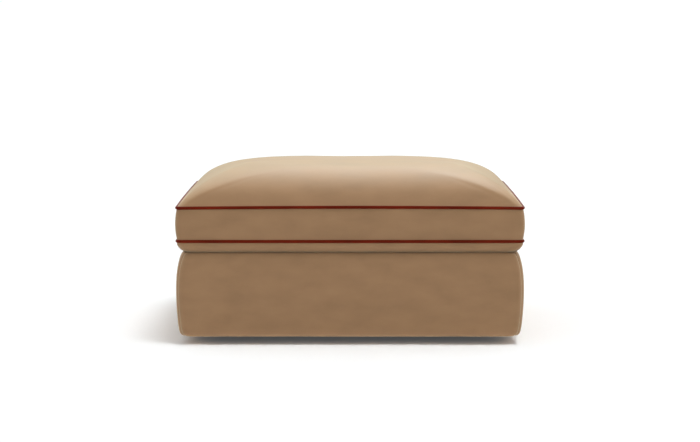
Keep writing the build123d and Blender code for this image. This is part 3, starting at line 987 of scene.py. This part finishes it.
def piping_radius_at(point):
    """The cord's radius, with the overlap of its two ends at the rear and the cover's slight unevenness."""
    radius = bpy.context.scene.ottoman_cushion.piping_radius
    from_overlap = (point.x - OVERLAP_PLACE) / OVERLAP_LENGTH
    overlap = OVERLAP_SHARE * math.exp(-(from_overlap**2)) if point.y > 0 else 0.0
    return radius * (CORD_FULLNESS + overlap + CORD_UNEVENNESS * noise.noise(point * UNEVENNESS_SCALE))


class OTTOMAN_OT_piping(bpy.types.Operator):
    """Lay the covered cord along the upper and lower seams"""

    bl_idname = "ottoman.piping"
    bl_label = "Piping"

    def execute(self, context):
        colours = context.scene.ottoman_colours
        pair = (colours.piping, colours.piping_sheen)
        finish = nap_material("piping_nap", *pair, sheen_weight=0.08, patch_depth=0.3)
        for node, seam in (("upper_piping", upper_seam), ("lower_piping", lower_seam)):
            bm = bmesh.new()
            add_tube(bm, seam_loop(seam, CORD_STEPS), piping_radius_at, CORD_SIDES)
            lift_seam(bm)
            piece = mesh_object(f"{node}_cord", bm)
            add_smoothing(piece)
            dress(piece, finish, "cushion", "piping_rust", node)
        return {"FINISHED"}


# Fillings: closed bodies from loops, whole or mitred at the corners

# The foam core's corner radius and rounded edge, and how far the wadding stays below the crown
CORE_RADIUS = 0.03
CORE_EDGE = 0.003
CROWN_WADDING_SINK = 0.003
# How far round the zip's tapes the wadding is hollowed, and the air between the two
ZIP_ROOM = 0.008
ZIP_GAP = 0.0004


def rings(inset, radius, *heights):
    """A coarse loop at each height."""
    return [outline(inset, radius, height, COARSE_STEPS) for height in heights]


def closed_body(name, loops):
    """A closed body whose first and last coarse loops are filled, the first one facing down."""
    bm = bmesh.new()
    rows = add_rows(bm, loops, closed=True)
    add_fill(bm, rows[0], COARSE_STEPS, facing_down=True)
    add_fill(bm, rows[-1], COARSE_STEPS)
    bmesh.ops.recalc_face_normals(bm, faces=bm.faces)
    return mesh_object(name, bm)


def side_cut(loops, side, steps):
    """The part of each loop along one side, from corner middle to corner middle."""
    first, last = side_range(side, steps)
    return [[loop[place % len(loop)] for place in range(first, last + 1)] for loop in loops]


def side_strip(name, loops, side):
    """One side of a ring whose coarse loops go round its section, closed at both mitres."""
    bm = bmesh.new()
    cut = side_cut(loops, side, COARSE_STEPS)
    rows = add_rows(bm, cut + cut[:1], closed=False)
    bm.faces.new([row[0] for row in rows[:-1]])
    bm.faces.new([row[-1] for row in rows[:-1]])
    bmesh.ops.remove_doubles(bm, verts=bm.verts, dist=WELD)
    bmesh.ops.recalc_face_normals(bm, faces=bm.faces)
    return mesh_object(name, bm)


def hollow_for_zip(strip):
    """Keeps the rear wadding inside the zip's tapes."""
    low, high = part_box("zip_tapes")
    for vert in strip.data.vertices:
        if low.z - ZIP_ROOM < vert.co.z < high.z + ZIP_ROOM and abs(vert.co.x) < high.x + 4 * ZIP_ROOM:
            vert.co.y = min(vert.co.y, low.y - ZIP_GAP)


def block_loops(node, radius, edge, sunk=0.0):
    """Loops of a block with rounded edges in the space of a node, with its top pressed down."""
    low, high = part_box(node)
    inset = half_width - high.x
    top = high.z - sunk
    loops = []
    for drawn, height in ((edge, low.z), (0.0, low.z + edge), (0.0, top - edge), (edge, top)):
        loops += rings(inset + drawn, radius - drawn, height)
    return loops


class OTTOMAN_OT_cushion_filling(bpy.types.Operator):
    """Fill the cushion with its foam core and the wadding round it"""

    bl_idname = "ottoman.cushion_filling"
    bl_label = "Cushion Filling"

    def execute(self, context):
        sizes = context.scene.ottoman_cushion
        skin = sizes.cloth + LINING_GAP
        core_low, core_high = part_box("foam_core")
        core_inset = half_width - core_high.x
        foot_inset = 2 * sizes.piping_radius + skin
        core = closed_body("foam_core_cut", block_loops("foam_core", CORE_RADIUS, CORE_EDGE))
        dress(core, foam(), "cushion", "foam", "foam_core")

        height = upper_seam + WADDING_GAP
        hollow = rings(core_inset, CORE_RADIUS, core_high.z + LAYER_GAP, height)
        crown = crown_loops(COARSE_STEPS, skin + WADDING_GAP, CROWN_WADDING_SINK)
        loops = hollow + rings(foot_inset, sizes.seam_radius, height) + crown
        top = closed_body("wadding_top_layer", loops)
        dress(top, wadding(), "cushion", "wadding", "wadding_top")

        height = lower_seam - WADDING_GAP
        hollow = rings(core_inset, CORE_RADIUS, height, core_low.z - LAYER_GAP)
        loops = underside_loops(COARSE_STEPS, skin)[::-1]
        loops += rings(foot_inset, sizes.seam_radius, height) + hollow
        bottom = closed_body("wadding_bottom_layer", loops)
        dress(bottom, wadding(), "cushion", "wadding", "wadding_bottom")

        section = band_loops(COARSE_STEPS, skin)
        section += rings(core_inset, CORE_RADIUS, upper_seam - WADDING_GAP, lower_seam + WADDING_GAP)
        for side in SIDES:
            strip = side_strip(f"wadding_{side}_strip", section, side)
            if side == "rear":
                hollow_for_zip(strip)
            dress(strip, wadding(), "cushion", "wadding", f"wadding_{side}")
        return {"FINISHED"}


# Base cover

RUMPLE_SCALE = 9.0
# Radius of the deck border's inner corners, and how far outside its inner edge the stitches run
BORDER_CORNER = 0.004
BORDER_STITCH_INSET = 0.004
# Corner radius of the frame and of what lies on it, and the deck foam's rounded edge
FRAME_RADIUS = 0.012
DECK_FOAM_EDGE = 0.002


def base_edge_radius():
    """Corner radius of the base's drawn-in edges."""
    sizes = bpy.context.scene.ottoman_base
    return sizes.corner_radius + sizes.draw / 2


def base_loops(steps, skin):
    """Loops up the padded base, from its lower edge to its deck."""
    sizes = bpy.context.scene.ottoman_base
    low = base_bottom - sizes.hem_roll + skin
    high = deck_height - skin
    loops = []
    for height_share, draw_share in BASE_PROFILE_SHARES:
        drawn = sizes.draw * draw_share - sizes.padding_swell * (1 - draw_share)
        radius = sizes.corner_radius + drawn / 2
        loops.append(outline(drawn + skin, radius, low + (high - low) * height_share, steps))
    return loops


def rumple(bm, amount):
    """Moves points in or out a little, so that the cloth lies unevenly over its padding."""
    bm.normal_update()
    for vert in bm.verts:
        vert.co += vert.normal * amount * (noise.noise(vert.co * RUMPLE_SCALE) - 0.5)


def cover_piece(side):
    """One side of the cover from its hem to the deck, sunk in along its corner seams."""
    sizes = bpy.context.scene.ottoman_base
    hem = []
    for share, hanging in HEM_SHARES:
        turned = sizes.hem * share
        height = base_bottom - sizes.hem_roll * hanging
        hem.append(outline(sizes.draw + turned, base_edge_radius() + turned, height, FINE_STEPS))
    bm = bmesh.new()
    rows = add_rows(bm, side_cut(hem + base_loops(FINE_STEPS, 0.0), side, FINE_STEPS), closed=False)
    rumple(bm, sizes.rumple)
    for row in rows[len(hem) :]:
        for vert in (row[0], row[-1]):
            vert.co -= vert.normal * sizes.corner_groove
    return mesh_object(f"cover_{side}_velvet", bm)


def deck_pieces():
    """The deck: a velvet border, mitred at its corners, round a plain decking cloth."""
    sizes = bpy.context.scene.ottoman_base
    loops = []
    for share in BORDER_SHARES:
        radius = base_edge_radius() * (1 - share) + BORDER_CORNER * share
        loops.append(outline(sizes.draw + sizes.deck_border * share, radius, deck_height, FINE_STEPS))
    border = bmesh.new()
    add_rows(border, loops, closed=True)
    middle = bmesh.new()
    inner = outline(sizes.draw + sizes.deck_border, BORDER_CORNER, deck_height, FINE_STEPS)
    add_fill(middle, [middle.verts.new(point) for point in inner], FINE_STEPS)
    return mesh_object("deck_border_velvet", border), mesh_object("decking_cloth", middle)


class OTTOMAN_OT_base_cover(bpy.types.Operator):
    """Cover the base: four sides with corner seams, and the deck with its border"""

    bl_idname = "ottoman.base_cover"
    bl_label = "Base Cover"

    def execute(self, context):
        sizes = context.scene.ottoman_base
        cloth = context.scene.ottoman_cushion.cloth
        for side in SIDES:
            piece = cover_piece(side)
            add_thickness(piece, cloth)
            dress(piece, velvet(), "base", "velvet", f"cover_{side}")
        border, decking = deck_pieces()
        add_thickness(border, cloth)
        dress(border, velvet(), "base", "velvet", "deck_cover")
        add_thickness(decking, cloth / 2)
        twill = woven_material("decking_twill", DECKING_COLOUR, period=0.0012, depth=0.0003)
        dress(decking, twill, "base", "hessian", "deck_cover")
        inset = sizes.draw + sizes.deck_border - BORDER_STITCH_INSET
        path = outline(inset, BORDER_CORNER + BORDER_STITCH_INSET, deck_height + LAYER_GAP, FINE_STEPS)
        make_stitches("deck_stitches", [(path, True)], (0, 0, 1), "base")
        return {"FINISHED"}


class OTTOMAN_OT_base_filling(bpy.types.Operator):
    """Pad the frame, and lay hessian and foam on the springs"""

    bl_idname = "ottoman.base_filling"
    bl_label = "Base Filling"

    def execute(self, context):
        skin = context.scene.ottoman_cushion.cloth + LINING_GAP
        frame_inset = half_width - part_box("front_rail")[1].x
        low = base_bottom + skin
        high = deck_height - skin
        section = base_loops(COARSE_STEPS, skin)
        section += rings(frame_inset, FRAME_RADIUS, high, (low + high) / 2, low)
        for side in SIDES:
            strip = side_strip(f"padding_{side}_strip", section, side)
            dress(strip, wadding(), "base", "wadding", f"padding_{side}")
        deck = closed_body("deck_foam_cut", block_loops("deck_foam", FRAME_RADIUS, DECK_FOAM_EDGE, DECK_SINK))
        dress(deck, foam(), "base", "foam", "deck_foam")
        hessian = closed_body("spring_hessian", block_loops("spring_cover", FRAME_RADIUS, LAYER_GAP))
        weave = woven_material("hessian_weave", HESSIAN_COLOUR, period=0.003, depth=0.0008)
        dress(hessian, weave, "base", "hessian", "spring_cover")
        return {"FINISHED"}


# Underside

# The dust cover's corner radius, the sides of its round holes and their gap to the feet
DUST_COVER_RADIUS = 0.03
HOLE_SIDES = 32
HOLE_GAP = 0.002
STAPLE_HALF_LENGTH = 0.005
STAPLE_WIRE = 0.0005
# The row of staples: how far inside the cover's edge, its corner radius and its pitch
STAPLE_INSET = 0.008
STAPLE_ROW_RADIUS = 0.026
STAPLE_PITCH = 0.045


def staple():
    """A flat wire staple, its bar along the row."""
    bm = bmesh.new()
    low = (-STAPLE_HALF_LENGTH, -STAPLE_WIRE, 0.0)
    add_box(bm, low, (STAPLE_HALF_LENGTH, STAPLE_WIRE, STAPLE_WIRE), STAPLE_WIRE / 5)
    return mesh_object("staple", bm, smooth=False)


def dust_cover_outline():
    """A flat curve: the dust cover's edge and a hole round each foot."""
    curve = bpy.data.curves.new("dust_cover_cut", "CURVE")
    curve.dimensions = "2D"
    curve.fill_mode = "BOTH"
    edges = rings(half_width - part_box("dust_cover")[1].x, DUST_COVER_RADIUS, 0.0)
    for corner in CORNERS:
        middle = middle_of(f"foot_{corner}")
        radius = (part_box(f"foot_{corner}")[1].x - middle.x) + HOLE_GAP
        hole = circle(middle.x, middle.y, radius, HOLE_SIDES)
        edges.append([Vector((x, y, 0.0)) for x, y in hole])
    for edge in edges:
        spline = curve.splines.new("POLY")
        spline.points.add(len(edge) - 1)
        spline.use_cyclic_u = True
        for place, point in zip(spline.points, edge):
            place.co = (point.x, point.y, 0.0, 1.0)
    return curve


class OTTOMAN_OT_underside(bpy.types.Operator):
    """Staple the dust cover under the frame"""

    bl_idname = "ottoman.underside"
    bl_label = "Dust Cover"

    def execute(self, context):
        low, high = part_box("dust_cover")
        curve = dust_cover_outline()
        curve.extrude = (high.z - low.z) / 2
        flat = add_object("dust_cover_flat", curve)
        bm = bmesh.new()
        bm.from_mesh(plain_mesh(flat))
        bmesh.ops.translate(bm, verts=bm.verts, vec=(0, 0, (low.z + high.z) / 2))
        bmesh.ops.remove_doubles(bm, verts=bm.verts, dist=WELD)
        bmesh.ops.recalc_face_normals(bm, faces=bm.faces)
        bpy.data.objects.remove(flat)
        cover = mesh_object("dust_cover_cambric", bm, smooth=False)
        dress(cover, fibre_material("black_cambric", *CAMBRIC_COLOURS), "base", "dust_cloth", "dust_cover")
        path = outline(half_width - high.x + STAPLE_INSET, STAPLE_ROW_RADIUS, low.z, COARSE_STEPS)
        steel = metal_material("staple_steel", STAPLE_COLOUR, low=0.3, high=0.5)
        row = make_row("dust_cover_staples", [(path, True)], staple(), STAPLE_PITCH, (0, 0, -1), steel)
        dress(row, steel, "base", "zinc_steel")
        return {"FINISHED"}


# Feet

FOOT_SIDES = 48
# A foot's rounded lower edge, the rim at its top and how far it bulges between them
FOOT_EDGE = 0.002
FOOT_RIM = 0.001
FOOT_BULGE = 0.002
FOOT_GRAIN = (6.0, 6.0, 1.0)


def lathe(name, profile, middle, sides):
    """A turned body from (radius, height) pairs, closed on its axis."""
    bm = bmesh.new()
    loops = []
    for radius, height in profile:
        loops.append([middle + Vector((x, y, height)) for x, y in circle(0.0, 0.0, radius, sides)])
    rows = add_rows(bm, loops, closed=True)
    bm.faces.new(rows[0][::-1])
    bm.faces.new(rows[-1])
    bmesh.ops.recalc_face_normals(bm, faces=bm.faces)
    return mesh_object(name, bm)


class OTTOMAN_OT_feet(bpy.types.Operator):
    """Turn the four low feet and give them their glides"""

    bl_idname = "ottoman.feet"
    bl_label = "Feet"

    def execute(self, context):
        sizes = context.scene.ottoman_base
        colour = context.scene.ottoman_colours.foot
        shades = (shaded(colour, 1.5), shaded(colour, 0.8))
        lacquer = wood_material("foot_lacquer", *shades, FOOT_GRAIN, gloss=0.25)
        for corner in CORNERS:
            low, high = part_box(f"foot_{corner}")
            middle = Vector(((low.x + high.x) / 2, (low.y + high.y) / 2, 0.0))
            top = (high.x - low.x) / 2
            bottom = top - sizes.foot_taper
            profile = [
                (bottom - FOOT_EDGE, low.z), (bottom - FOOT_EDGE / 4, low.z + FOOT_EDGE / 4),
                (bottom, low.z + FOOT_EDGE),
            ]
            for share in (0.25, 0.5, 0.75):
                bulge = FOOT_BULGE * (1 - (2 * share - 1) ** 2)
                profile.append((bottom + (top - bottom) * share + bulge, low.z + (high.z - low.z) * share))
            profile += [(top, high.z - FOOT_RIM), (top - FOOT_RIM, high.z)]
            foot = lathe(f"foot_{corner}_turned", profile, middle, FOOT_SIDES)
            dress(foot, lacquer, "base", "foot_black", f"foot_{corner}")
        refinish("foot_glides", moulded_material("glide_nylon_grey", GLIDE_COLOUR, gloss=0.4))
        return {"FINISHED"}


# Zip

TAPE_HALF_GAP = 0.0006
TAPE_EDGE = 0.0001
# A tooth's length and radius, and how far its row lies from the zip's middle line and ends
TOOTH_LENGTH = 0.0031
TOOTH_RADIUS = 0.00065
TOOTH_OFFSET = 0.0017
COIL_END = 0.001
# The topstitches' distance from the slot, and the straight steps of their path
TOPSTITCH_MARGIN = 0.006
TOPSTITCH_STEPS = 40
# The slider: half its length and width, its wall, and the places of its plates and flanges before the tape
SLIDER_HALF_LENGTH = 0.006
SLIDER_HALF_WIDTH = 0.0045
SLIDER_WALL = 0.001
SLIDER_EDGE = 0.0002
REAR_PLATE = -0.0016
FLANGE = 0.0006
FRONT_PLATE = 0.0022
# The slider's post and bridge: half their length and width, the bridge's wall and its height
POST_HALF = (0.002, 0.0004)
BRIDGE_HALF = (0.004, 0.0009)
BRIDGE_WALL = 0.0008
BRIDGE_HEIGHT = 0.0024
# The pull: its pin, half its thickness, its arms and the crossbar that joins them to the tab
PIN_RADIUS = 0.0006
PIN_HALF_LENGTH = 0.0022
PULL_HALF = 0.0005
PULL_EDGE = 0.0003
ARM_END = -0.0062
ARM_INSIDE = 0.0012
CROSSBAR = (-0.0072, -0.0052)
CROSSBAR_HALF_WIDTH = 0.0026
CROSSBAR_EDGE = 0.0004
# The tab's start, half its width there and how far it widens; its squareness, its hole and its sides
TAB_START = -0.0066
TAB_HALF_WIDTH = 0.0024
TAB_WIDENING = 0.0006
TAB_SQUARENESS = 0.35
HOLE_INSET = 0.003
HOLE_RADIUS = 0.0014
TAB_SIDES = 24


def slider_piece(name, middle, tape_y):
    """Two plates on a post, with flanges that hug the coils and a bridge for the pull."""
    long, half, wall = SLIDER_HALF_LENGTH, SLIDER_HALF_WIDTH, SLIDER_WALL
    front = FRONT_PLATE + wall
    bridge = front + BRIDGE_HEIGHT
    post_x, post_z = POST_HALF
    bridge_x, bridge_z = BRIDGE_HALF
    shapes = (
        ((-long, FRONT_PLATE, -half), (long, front, half)),
        ((-long, REAR_PLATE, -half), (long, REAR_PLATE + wall, half)),
        ((-post_x, REAR_PLATE, -post_z), (post_x, front, post_z)),
        ((-long, FLANGE, half - wall), (long, front, half)),
        ((-long, FLANGE, -half), (long, front, wall - half)),
        ((-bridge_x, front, -bridge_z), (BRIDGE_WALL - bridge_x, bridge, bridge_z)),
        ((bridge_x - BRIDGE_WALL, front, -bridge_z), (bridge_x, bridge, bridge_z)),
        ((-bridge_x, bridge - BRIDGE_WALL, -bridge_z), (bridge_x, bridge, bridge_z)),
    )
    bm = bmesh.new()
    for low, high in shapes:
        add_box(bm, low, high, SLIDER_EDGE)
    bmesh.ops.translate(bm, verts=bm.verts, vec=(middle.x, tape_y, middle_seam))
    return mesh_object(name, bm)


def squared(value):
    """Pushes the sine or cosine of a turn outwards, so that a circle becomes a rounded rectangle."""
    return math.copysign(abs(value) ** TAB_SQUARENESS, value)


def add_tab(bm, end):
    """The pull's tab, widening to its end, with a round hole through it."""
    outer = []
    for angle in turns(TAB_SIDES):
        along = (end + TAB_START) / 2 + (TAB_START - end) / 2 * squared(math.cos(angle))
        half = TAB_HALF_WIDTH + TAB_WIDENING * (along - TAB_START) / (end - TAB_START)
        outer.append((along, half * squared(math.sin(angle))))
    hole = circle(end + HOLE_INSET, 0.0, HOLE_RADIUS, TAB_SIDES)
    loops = []
    for edge, depths in ((outer, (-PULL_HALF, PULL_HALF)), (hole, (PULL_HALF, -PULL_HALF))):
        loops += [[Vector((x, depth, z)) for x, z in edge] for depth in depths]
    add_rows(bm, loops + loops[:1], closed=True)


def pull_piece(name):
    """The pull: a pin, two arms and a tab with a hole."""
    low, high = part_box("zip_pull")
    pin = Vector((high.x - PIN_RADIUS, (low.y + high.y) / 2, middle_seam))
    corner = Vector((PIN_RADIUS, PIN_RADIUS, PIN_HALF_LENGTH))
    bm = bmesh.new()
    add_box(bm, -corner, corner, PULL_EDGE)
    for start, end in ((-PIN_HALF_LENGTH, -ARM_INSIDE), (ARM_INSIDE, PIN_HALF_LENGTH)):
        add_box(bm, (ARM_END, -PULL_HALF, start), (0.0, PULL_HALF, end), PULL_EDGE)
    near, far = CROSSBAR
    half = CROSSBAR_HALF_WIDTH
    add_box(bm, (near, -PULL_HALF, -half), (far, PULL_HALF, half), CROSSBAR_EDGE)
    add_tab(bm, low.x - pin.x)
    bmesh.ops.remove_doubles(bm, verts=bm.verts, dist=WELD / 10)
    bmesh.ops.recalc_face_normals(bm, faces=bm.faces)
    bmesh.ops.translate(bm, verts=bm.verts, vec=pin)
    return mesh_object(name, bm)


def line_between(start_x, end_x, y, z, steps=2):
    """Points on a straight line along X."""
    return [Vector((start_x + (end_x - start_x) * step / steps, y, z)) for step in range(steps + 1)]


def tape_pieces(finish):
    """Two woven tapes with a narrow gap between them."""
    low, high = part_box("zip_tapes")
    bm = bmesh.new()
    for bottom, top in ((middle_seam + TAPE_HALF_GAP, high.z), (low.z, middle_seam - TAPE_HALF_GAP)):
        add_box(bm, (low.x, low.y, bottom), (high.x, high.y, top), TAPE_EDGE)
    return dress(mesh_object("zip_tape_pair", bm, smooth=False), finish, "cushion", "zip_tape", "zip_tapes")


def coil_pieces(finish):
    """Two rows of teeth that lock into each other, half a pitch apart."""
    low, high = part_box("zip_coils")
    pitch = bpy.context.scene.ottoman_zip.tooth_pitch
    y = (low.y + high.y) / 2
    paths = []
    for side, shift in ((1, 0.0), (-1, pitch / 2)):
        height = middle_seam + side * TOOTH_OFFSET
        paths.append((line_between(low.x + COIL_END + shift, high.x - COIL_END, y, height), False))
    tooth = small_bar("tooth", TOOTH_LENGTH, TOOTH_RADIUS, "Y")
    row = make_row("zip_coil_teeth", paths, tooth, pitch, (0, 1, 0), finish)
    return dress(row, finish, "cushion", "zip_coil", "zip_coils")


class OTTOMAN_OT_zip(bpy.types.Operator):
    """Set the zip into the rear band: tapes, coils, slider, pull and topstitching"""

    bl_idname = "ottoman.zip"
    bl_label = "Zip"

    def execute(self, context):
        zips = context.scene.ottoman_zip
        tape_pieces(tape_material())
        coil_pieces(moulded_material("zip_coil_nylon", COIL_COLOUR, gloss=0.3))
        slider = slider_piece("zip_slider_cast", middle_of("zip_slider"), middle_of("zip_tapes").y)
        dress(slider, zip_metal(), "zip_slider", "zip_metal", "zip_slider")
        dress(pull_piece("zip_pull_tab"), zip_metal(), "zip_pull", "zip_metal", "zip_pull")
        reach = zips.slot_length / 2 + TOPSTITCH_MARGIN
        surface = half_depth + context.scene.ottoman_cushion.band_bulge
        paths = []
        for side in (-1, 1):
            height = middle_seam + side * (zips.slot_height / 2 + TOPSTITCH_MARGIN)
            paths.append((line_between(-reach, reach, surface, height, TOPSTITCH_STEPS), False))
        make_stitches("zip_topstitches", paths, (0, 1, 0), "cushion")
        return {"FINISHED"}


# Springs

SPRING_PITCH = 0.03
ARC_STEPS = 8


def spring_path(low, high, wire):
    """The zigzag line of one sinuous spring: straight bars joined by half turns."""
    length = high.y - low.y - 2 * wire
    bars = round(length / SPRING_PITCH)
    step = length / bars
    turn = step / 2
    middle = (low.x + high.x) / 2
    bar_half = (high.x - low.x) / 2 - wire - turn
    height = (low.z + high.z) / 2
    points = []
    for bar in range(bars + 1):
        way = 1 if bar % 2 == 0 else -1
        y = low.y + wire + bar * step
        points.append(Vector((middle - way * bar_half, y, height)))
        points.append(Vector((middle + way * bar_half, y, height)))
        if bar < bars:
            for arc in range(1, ARC_STEPS):
                angle = math.pi * arc / ARC_STEPS
                out = bar_half + turn * math.sin(angle)
                points.append(Vector((middle + way * out, y + turn - turn * math.cos(angle), height)))
    return points


def make_spring(node, finish):
    """One spring as round wire along its zigzag line."""
    low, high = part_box(node)
    wire = (high.z - low.z) / 2
    curve = bpy.data.curves.new(f"{node}_line", "CURVE")
    curve.dimensions = "3D"
    curve.bevel_depth = wire
    curve.bevel_resolution = 2
    curve.use_fill_caps = True
    points = spring_path(low, high, wire)
    spline = curve.splines.new("POLY")
    spline.points.add(len(points) - 1)
    for place, point in zip(spline.points, points):
        place.co = (*point, 1.0)
    spline.use_smooth = True
    line = add_object(f"{node}_line", curve)
    mesh = plain_mesh(line)
    bpy.data.objects.remove(line)
    return dress(add_object(f"{node}_wire", mesh), finish, "base", "spring_steel", node)


class OTTOMAN_OT_springs(bpy.types.Operator):
    """Bend the five sinuous springs under the deck"""

    bl_idname = "ottoman.springs"
    bl_label = "Springs"

    def execute(self, context):
        finish = metal_material("spring_wire_steel", SPRING_COLOUR, low=0.35, high=0.55)
        for name in sorted(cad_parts):
            if name.startswith("spring_") and name[-1].isdigit():
                make_spring(name, finish)
        return {"FINISHED"}


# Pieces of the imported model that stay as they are

# How the grain of the rails and corner plates is stretched
ALONG_X = (0.6, 9.0, 9.0)
ALONG_Y = (9.0, 0.6, 9.0)
PLATE_GRAIN = (9.0, 0.8, 9.0)


def refinish(node, finish):
    """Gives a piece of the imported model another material."""
    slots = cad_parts[node].data.materials
    slots.clear()
    slots.append(finish)


class OTTOMAN_OT_frame_finish(bpy.types.Operator):
    """Give the wooden frame and its metal fittings their materials"""

    bl_idname = "ottoman.frame_finish"
    bl_label = "Frame Finish"

    def execute(self, context):
        long_rail = wood_material("rail_pine_long", *PINE_COLOURS, ALONG_X, gloss=0.6)
        side_rail = wood_material("rail_pine_side", *PINE_COLOURS, ALONG_Y, gloss=0.6)
        plate = wood_material("block_birch", *BIRCH_COLOURS, PLATE_GRAIN, gloss=0.55)
        zinc = metal_material("zinc_plate", ZINC_COLOUR, low=0.25, high=0.45)
        clip = metal_material("blued_clip_steel", CLIP_COLOUR, low=0.35, high=0.5)
        finishes = (
            (long_rail, ("front_rail", "rear_rail")),
            (side_rail, ("left_rail", "right_rail", "centre_stretcher")),
            (plate, [f"corner_block_{corner}" for corner in CORNERS]),
            (zinc, ("foot_bolts", "tee_nuts", "frame_screws", "clip_nails")),
            (clip, ("spring_clips", "spring_tie_wires")),
            (zip_metal(), ("zip_stops",)),
        )
        for finish, nodes in finishes:
            for node in nodes:
                refinish(node, finish)
        return {"FINISHED"}


# Stage

FLOOR_SIZE = 600.0
# The white surround: the light that it gives, and how bright the camera sees it
WORLD_LIGHT = 0.66
WORLD_BACKDROP = 1.0
# Strength, spread in degrees and direction of each light. EXCLUDE keeps it off the floor, and
# INCLUDE keeps it for the floor alone.
SOFTBOXES = {
    "key_softbox": (1.35, 22, (-0.24, 0.2, -1.0), None),
    "floor_bounce": (0.36, 60, (0.0, 0.0, -1.0), "INCLUDE"),
    "back_softbox": (2.05, 20, (-0.1, -1.0, -0.8), "EXCLUDE"),
    "back_left_softbox": (2.1, 20, (0.85, -0.5, -0.47), "EXCLUDE"),
    "back_right_softbox": (2.1, 20, (-0.85, -0.5, -0.47), "EXCLUDE"),
    "front_fill": (0.36, 60, (0.0, 1.0, -0.25), "EXCLUDE"),
    "under_fill": (1.5, 30, (0.0, -0.05, 1.0), "EXCLUDE"),
}
# The camera: lens and sensor in millimetres, way from the front face, height and tilt in degrees
LENS = 97.71
SENSOR = 36.0
CAMERA_DISTANCE = 4.926
CAMERA_HEIGHT = 0.914
CAMERA_TILT = 6.757


def floor_material():
    """Smooth pale studio floor with the faintest unevenness."""
    finish = Finish("studio_floor")
    light, dark = FLOOR_COLOURS
    finish.colour(finish.noise(scale=0.7), (0.3, dark), (0.7, light))
    finish.shader.inputs["Roughness"].default_value = 0.9
    finish.shader.inputs["Specular IOR Level"].default_value = 0.1
    return finish.material


def add_softbox(name, strength, spread, aim, floor, floor_link):
    """A wide distant light that shines along a direction."""
    light = bpy.data.lights.new(name, "SUN")
    light.energy = strength
    light.angle = math.radians(spread)
    lamp = add_object(name, light)
    lamp.rotation_euler = Vector(aim).to_track_quat("-Z", "Y").to_euler()
    if floor_link:
        flags = bpy.data.collections.new(f"{name}_flags")
        flags.objects.link(floor)
        flags.collection_objects[0].light_linking.link_state = floor_link
        lamp.light_linking.receiver_collection = flags
        lamp.light_linking.blocker_collection = flags


def studio_world():
    """An even white surround whose backdrop looks brighter than the light that it gives."""
    world = bpy.data.worlds.new("studio_white")
    world.use_nodes = True
    tree = world.node_tree
    background = tree.nodes["Background"]
    background.inputs["Color"].default_value = (1.0, 1.0, 1.0, 1.0)
    rays = tree.nodes.new("ShaderNodeLightPath")
    strength = tree.nodes.new("ShaderNodeMapRange")
    strength.inputs["To Min"].default_value = WORLD_LIGHT
    strength.inputs["To Max"].default_value = WORLD_BACKDROP
    tree.links.new(rays.outputs["Is Camera Ray"], strength.inputs["Value"])
    tree.links.new(strength.outputs["Result"], background.inputs["Strength"])
    return world


class OTTOMAN_OT_stage(bpy.types.Operator):
    """Set up the pale floor, the soft light and the camera"""

    bl_idname = "ottoman.stage"
    bl_label = "Stage"

    def execute(self, context):
        scene = context.scene
        bm = bmesh.new()
        bmesh.ops.create_grid(bm, x_segments=8, y_segments=8, size=FLOOR_SIZE)
        floor = mesh_object("studio_floor", bm)
        floor.data.materials.append(floor_material())

        scene.world = studio_world()
        for name, (strength, spread, aim, floor_link) in SOFTBOXES.items():
            add_softbox(name, strength, spread, aim, floor, floor_link)

        camera = bpy.data.cameras.new("front_camera")
        camera.sensor_width = SENSOR
        camera.lens = LENS
        eye = add_object("front_camera", camera)
        eye.location = (0.0, -half_depth - CAMERA_DISTANCE, CAMERA_HEIGHT)
        eye.rotation_euler = (math.radians(90 - CAMERA_TILT), 0.0, 0.0)
        scene.camera = eye
        scene.view_settings.view_transform = "Standard"
        return {"FINISHED"}


OPERATORS = (
    OTTOMAN_OT_stage,
    OTTOMAN_OT_cushion_cover,
    OTTOMAN_OT_piping,
    OTTOMAN_OT_cushion_filling,
    OTTOMAN_OT_zip,
    OTTOMAN_OT_base_cover,
    OTTOMAN_OT_base_filling,
    OTTOMAN_OT_springs,
    OTTOMAN_OT_underside,
    OTTOMAN_OT_feet,
    OTTOMAN_OT_frame_finish,
)


class OTTOMAN_PT_panel(bpy.types.Panel):
    """The ottoman's sizes, colours and pieces"""

    bl_idname = "OTTOMAN_PT_panel"
    bl_label = "Box Cushion Ottoman"
    bl_space_type = "VIEW_3D"
    bl_region_type = "UI"
    bl_category = "Ottoman"

    def draw(self, context):
        for group in (
            context.scene.ottoman_cushion, context.scene.ottoman_base, context.scene.ottoman_zip,
            context.scene.ottoman_colours,
        ):
            box = self.layout.box()
            for name in group.__annotations__:
                box.prop(group, name)
        for operator in OPERATORS:
            self.layout.operator(operator.bl_idname)


GROUPS = {
    "ottoman_cushion": CushionSizes,
    "ottoman_base": BaseSizes,
    "ottoman_zip": ZipSizes,
    "ottoman_colours": OttomanColours,
}


def register():
    for name, group in GROUPS.items():
        bpy.utils.register_class(group)
        setattr(bpy.types.Scene, name, PointerProperty(type=group))
    for operator in OPERATORS:
        bpy.utils.register_class(operator)
    bpy.utils.register_class(OTTOMAN_PT_panel)


def unregister():
    bpy.utils.unregister_class(OTTOMAN_PT_panel)
    for operator in reversed(OPERATORS):
        bpy.utils.unregister_class(operator)
    for name, group in GROUPS.items():
        delattr(bpy.types.Scene, name)
        bpy.utils.unregister_class(group)


def main():
    register()
    for operator in OPERATORS:
        family, name = operator.bl_idname.split(".")
        getattr(getattr(bpy.ops, family), name)()


if __name__ == "__main__":
    main()
